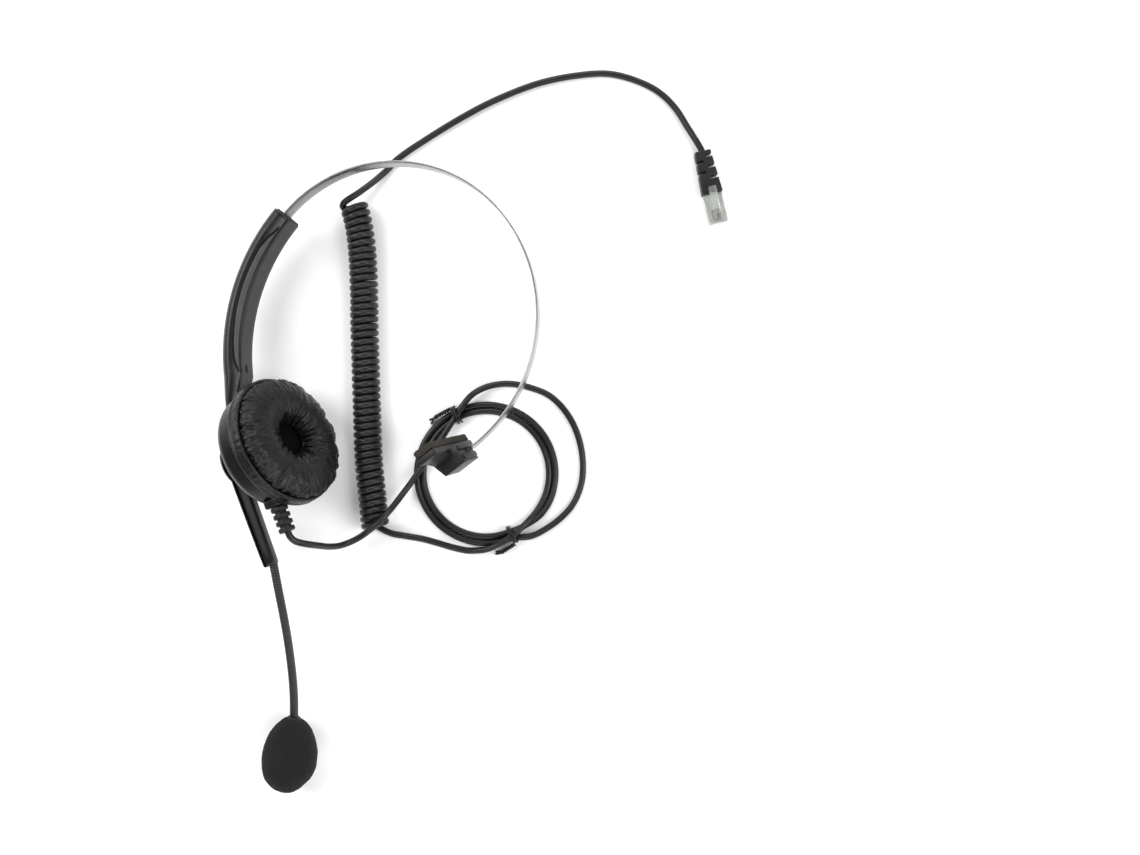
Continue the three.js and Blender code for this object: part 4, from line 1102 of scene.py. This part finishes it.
def foam_slab():
    mesh = frame["nodes"]["temple_foam"].data.copy()
    obj = bpy.data.objects.new("temple_foam_soft", mesh)
    bpy.context.scene.collection.objects.link(obj)
    remesh = obj.modifiers.new("even", "REMESH")
    remesh.mode = "VOXEL"
    remesh.voxel_size = 0.45 * MM
    soften = obj.modifiers.new("soften", "SMOOTH")
    soften.factor = 0.6
    soften.iterations = 5
    graph = bpy.context.evaluated_depsgraph_get()
    fine = bpy.data.meshes.new_from_object(obj.evaluated_get(graph))
    bpy.data.objects.remove(obj)
    roughen(fine, 0.16, 0.9, 3.0)
    for face in fine.polygons:
        face.use_smooth = True
    return dress("temple_foam_soft", fine, "temple_pad", TEMPLE_FOAM, ("temple_foam",))


foam_slab()


# ------------------------------------------------------------------ microphone boom
def swept_bar(stations, power=0.55):
    """A bar along -Y with soft corners: (y, x low, x high, half height) at each station."""
    rings = []
    for y, low, high, half in stations:
        ring = []
        for k in range(48):
            angle = 2 * math.pi * k / 48
            c, s = math.cos(angle), math.sin(angle)
            x = math.copysign(abs(c) ** power, c)
            z = math.copysign(abs(s) ** power, s)
            ring.append(((low + high) / 2 + (high - low) / 2 * x, y, half * z))
        rings.append(ring)
    return loft(rings)


def hub_disc(low, high, radius, corner):
    points, faces = turned(rounded([(0, low), (radius, low), (radius, high), (0, high)], corner, 4), 96)
    return [(z, x, y) for x, y, z in points], faces


def boom():
    beam = [
        (-2, -11.8, -7.4, 3.6), (-6, -11.8, -7.4, 3.5), (-14, -11.85, -7.45, 3.3), (-26, -11.85, -7.6, 3.1),
        (-38, -11.8, -7.75, 3.0), (-42.6, -11.75, -7.8, 2.95), (-43.3, -11.6, -7.95, 2.8),
        (-43.6, -11.2, -8.3, 2.4),
    ]
    return mesh_of("boom_beam", [swept_bar(beam, 0.4), hub_disc(-11.9, -7.3, 7.2, 0.7)], BAND, 50)


def boom_cap():
    strap = [
        (-2, -13.05, -12.15, 3.2), (-6, -13.1, -12.15, 3.1), (-20, -13.1, -12.15, 2.9),
        (-38, -12.95, -12.1, 2.7), (-43.0, -12.85, -12.1, 2.6), (-43.6, -12.6, -12.2, 2.2),
    ]
    return mesh_of("boom_cap", [swept_bar(strap, 0.45), hub_disc(-13.1, -12.2, 7.0, 0.35)], BAND, 50)


dress("boom_beam", boom(), "boom", SATIN, ("boom_arm",))
dress("boom_cap", boom_cap(), "boom", SATIN, ("boom_cover",))

neck_bends = [Vector((-38.8, -55.1, 20.2)), Vector((-36.3, -78.3, 16.5))]
neck_route = [
    Vector((-42.9, -32.2, 21.9)), Vector((-42.4, -34.5, 21.8)), Vector((-40.5, -44.7, 21.5)), neck_bends[0],
    Vector((-37.3, -66.3, 18.6)), neck_bends[1], Vector((-36.1, -88.3, 14.3)), Vector((-36.5, -97.4, 12.15)),
]
neck_line = smooth_line(neck_route, 0.14)
SPIRAL_PITCH = 1.15


def neck_radius(offset):
    def radius(distance, angle):
        phase = (distance + offset) / SPIRAL_PITCH * math.pi - angle / 2
        return 1.56 + 0.19 * abs(math.sin(phase)) ** 0.6
    return radius


halfway = min(range(len(neck_line)), key=lambda k: (neck_line[k] - neck_route[4]).length)


def neck_piece(name, line, offset, cad):
    mesh = mesh_of(name, [tube(line, neck_radius(offset), 24)], sharp=70)
    obj = dress(name, mesh, None, NECK, cad)
    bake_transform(obj)
    return obj


first = neck_line[: halfway + 1]
reach = sum((b - a).length for a, b in zip(first, first[1:]))
neck_piece(
    "gooseneck_lower", first, 0,
    ("gooseneck_1", "gooseneck_2"),
)
neck_piece(
    "gooseneck_upper", neck_line[halfway:], reach,
    ("gooseneck_3",),
)


# ------------------------------------------------------------------ microphone
def windscreen():
    """The foam windscreen: an egg with a slanted tip, moulded round the gooseneck's end."""
    profile = [(0, 1.4), (1.9, 1.2)]
    steps = 110
    for k in range(steps + 1):
        angle = math.pi * (0.06 + 0.94 * k / steps)
        swell = 1 - 0.1 * math.cos(angle)
        profile.append((11.4 * math.sin(angle) * swell * 0.97, 15.75 * (1 - math.cos(angle))))
    profile[-1] = (0, profile[-1][1])

    def shape(angle, r, z):
        slant = 1 - 0.06 * ease((z - 20) / 9) * math.cos(angle - 0.6)
        dent = 0.35 * math.exp(-((z - 17) / 3.5) ** 2) * max(0, math.cos(angle - 1.1)) ** 3
        return max(r * slant - dent, 0), z

    mesh = mesh_of("foam_windscreen", [turned(profile, 300, shape=shape)], MIC, 80)
    roughen(mesh, 0.3, 7.0, 1.0)
    roughen(mesh, 0.13, 0.75, 5.0)
    return dress("foam_windscreen", mesh, "microphone", MIC_FOAM, ("mic_foam",))


windscreen()
crisp("mic_housing", MATTE, 0.2)


# ------------------------------------------------------------------ CAD pieces that keep their shape
KEPT = {
    "baffle_grille": MATTE,
    "speaker_driver": PLATED,
    "speaker_diaphragm": CLEAR,
    "speaker_cloth": CLOTH,
    "speaker_lead": CORD,
    "slider_spring": PLATED,
    "boom_pivot_screw": PLATED,
    "boom_washer": PLATED,
    "mic_capsule": PLATED,
}
for node, material in KEPT.items():
    data = frame["nodes"][node].data
    data.materials.clear()
    data.materials.append(material)


# ------------------------------------------------------------------ floor and light
def floor():
    size = 3.0
    mesh = bpy.data.meshes.new("floor")
    corners = [(-size, -size, 0), (size, -size, 0), (size, size, 0), (-size, size, 0)]
    mesh.from_pydata(corners, [], [(0, 1, 2, 3)])
    g = Graph("floor_white")
    g.colour(g.mix(g.spread(g.noise(300.0, 2), 0, 1), (0.95, 0.95, 0.95), (0.97, 0.97, 0.97)))
    g.rough(g.spread(g.noise(40.0, 2), 0.85, 0.95))
    g.set(Specular_IOR_Level=0.1)
    mesh.materials.append(g.material)
    obj = bpy.data.objects.new("floor", mesh)
    bpy.context.scene.collection.objects.link(obj)


def light(name, location, target, width, height, power):
    data = bpy.data.lights.new(name, "AREA")
    data.shape = "RECTANGLE"
    data.size, data.size_y = width, height
    data.energy = power
    obj = bpy.data.objects.new(name, data)
    obj.location = location
    obj.rotation_mode = "QUATERNION"
    obj.rotation_quaternion = (Vector(target) - Vector(location)).to_track_quat("-Z", "Y")
    bpy.context.scene.collection.objects.link(obj)


floor()
AIM = (0.02, 0.0, 0.0)
light("softbox_left", (-0.75, 0.35, 0.75), AIM, 0.5, 1.0, 10)
light("softbox_right", (0.85, -0.1, 0.7), AIM, 0.5, 1.0, 9)
light("softbox_back", (0.05, 0.95, 0.6), AIM, 1.0, 0.45, 7.5)
light("softbox_front", (0.0, -0.95, 0.7), AIM, 1.0, 0.45, 6)
world = bpy.data.worlds.new("studio")
world.use_nodes = True
world.node_tree.nodes["Background"].inputs["Color"].default_value = (1, 1, 1, 1)
world.node_tree.nodes["Background"].inputs["Strength"].default_value = 0.22
bpy.context.scene.world = world
bpy.context.scene.view_settings.view_transform = "Standard"
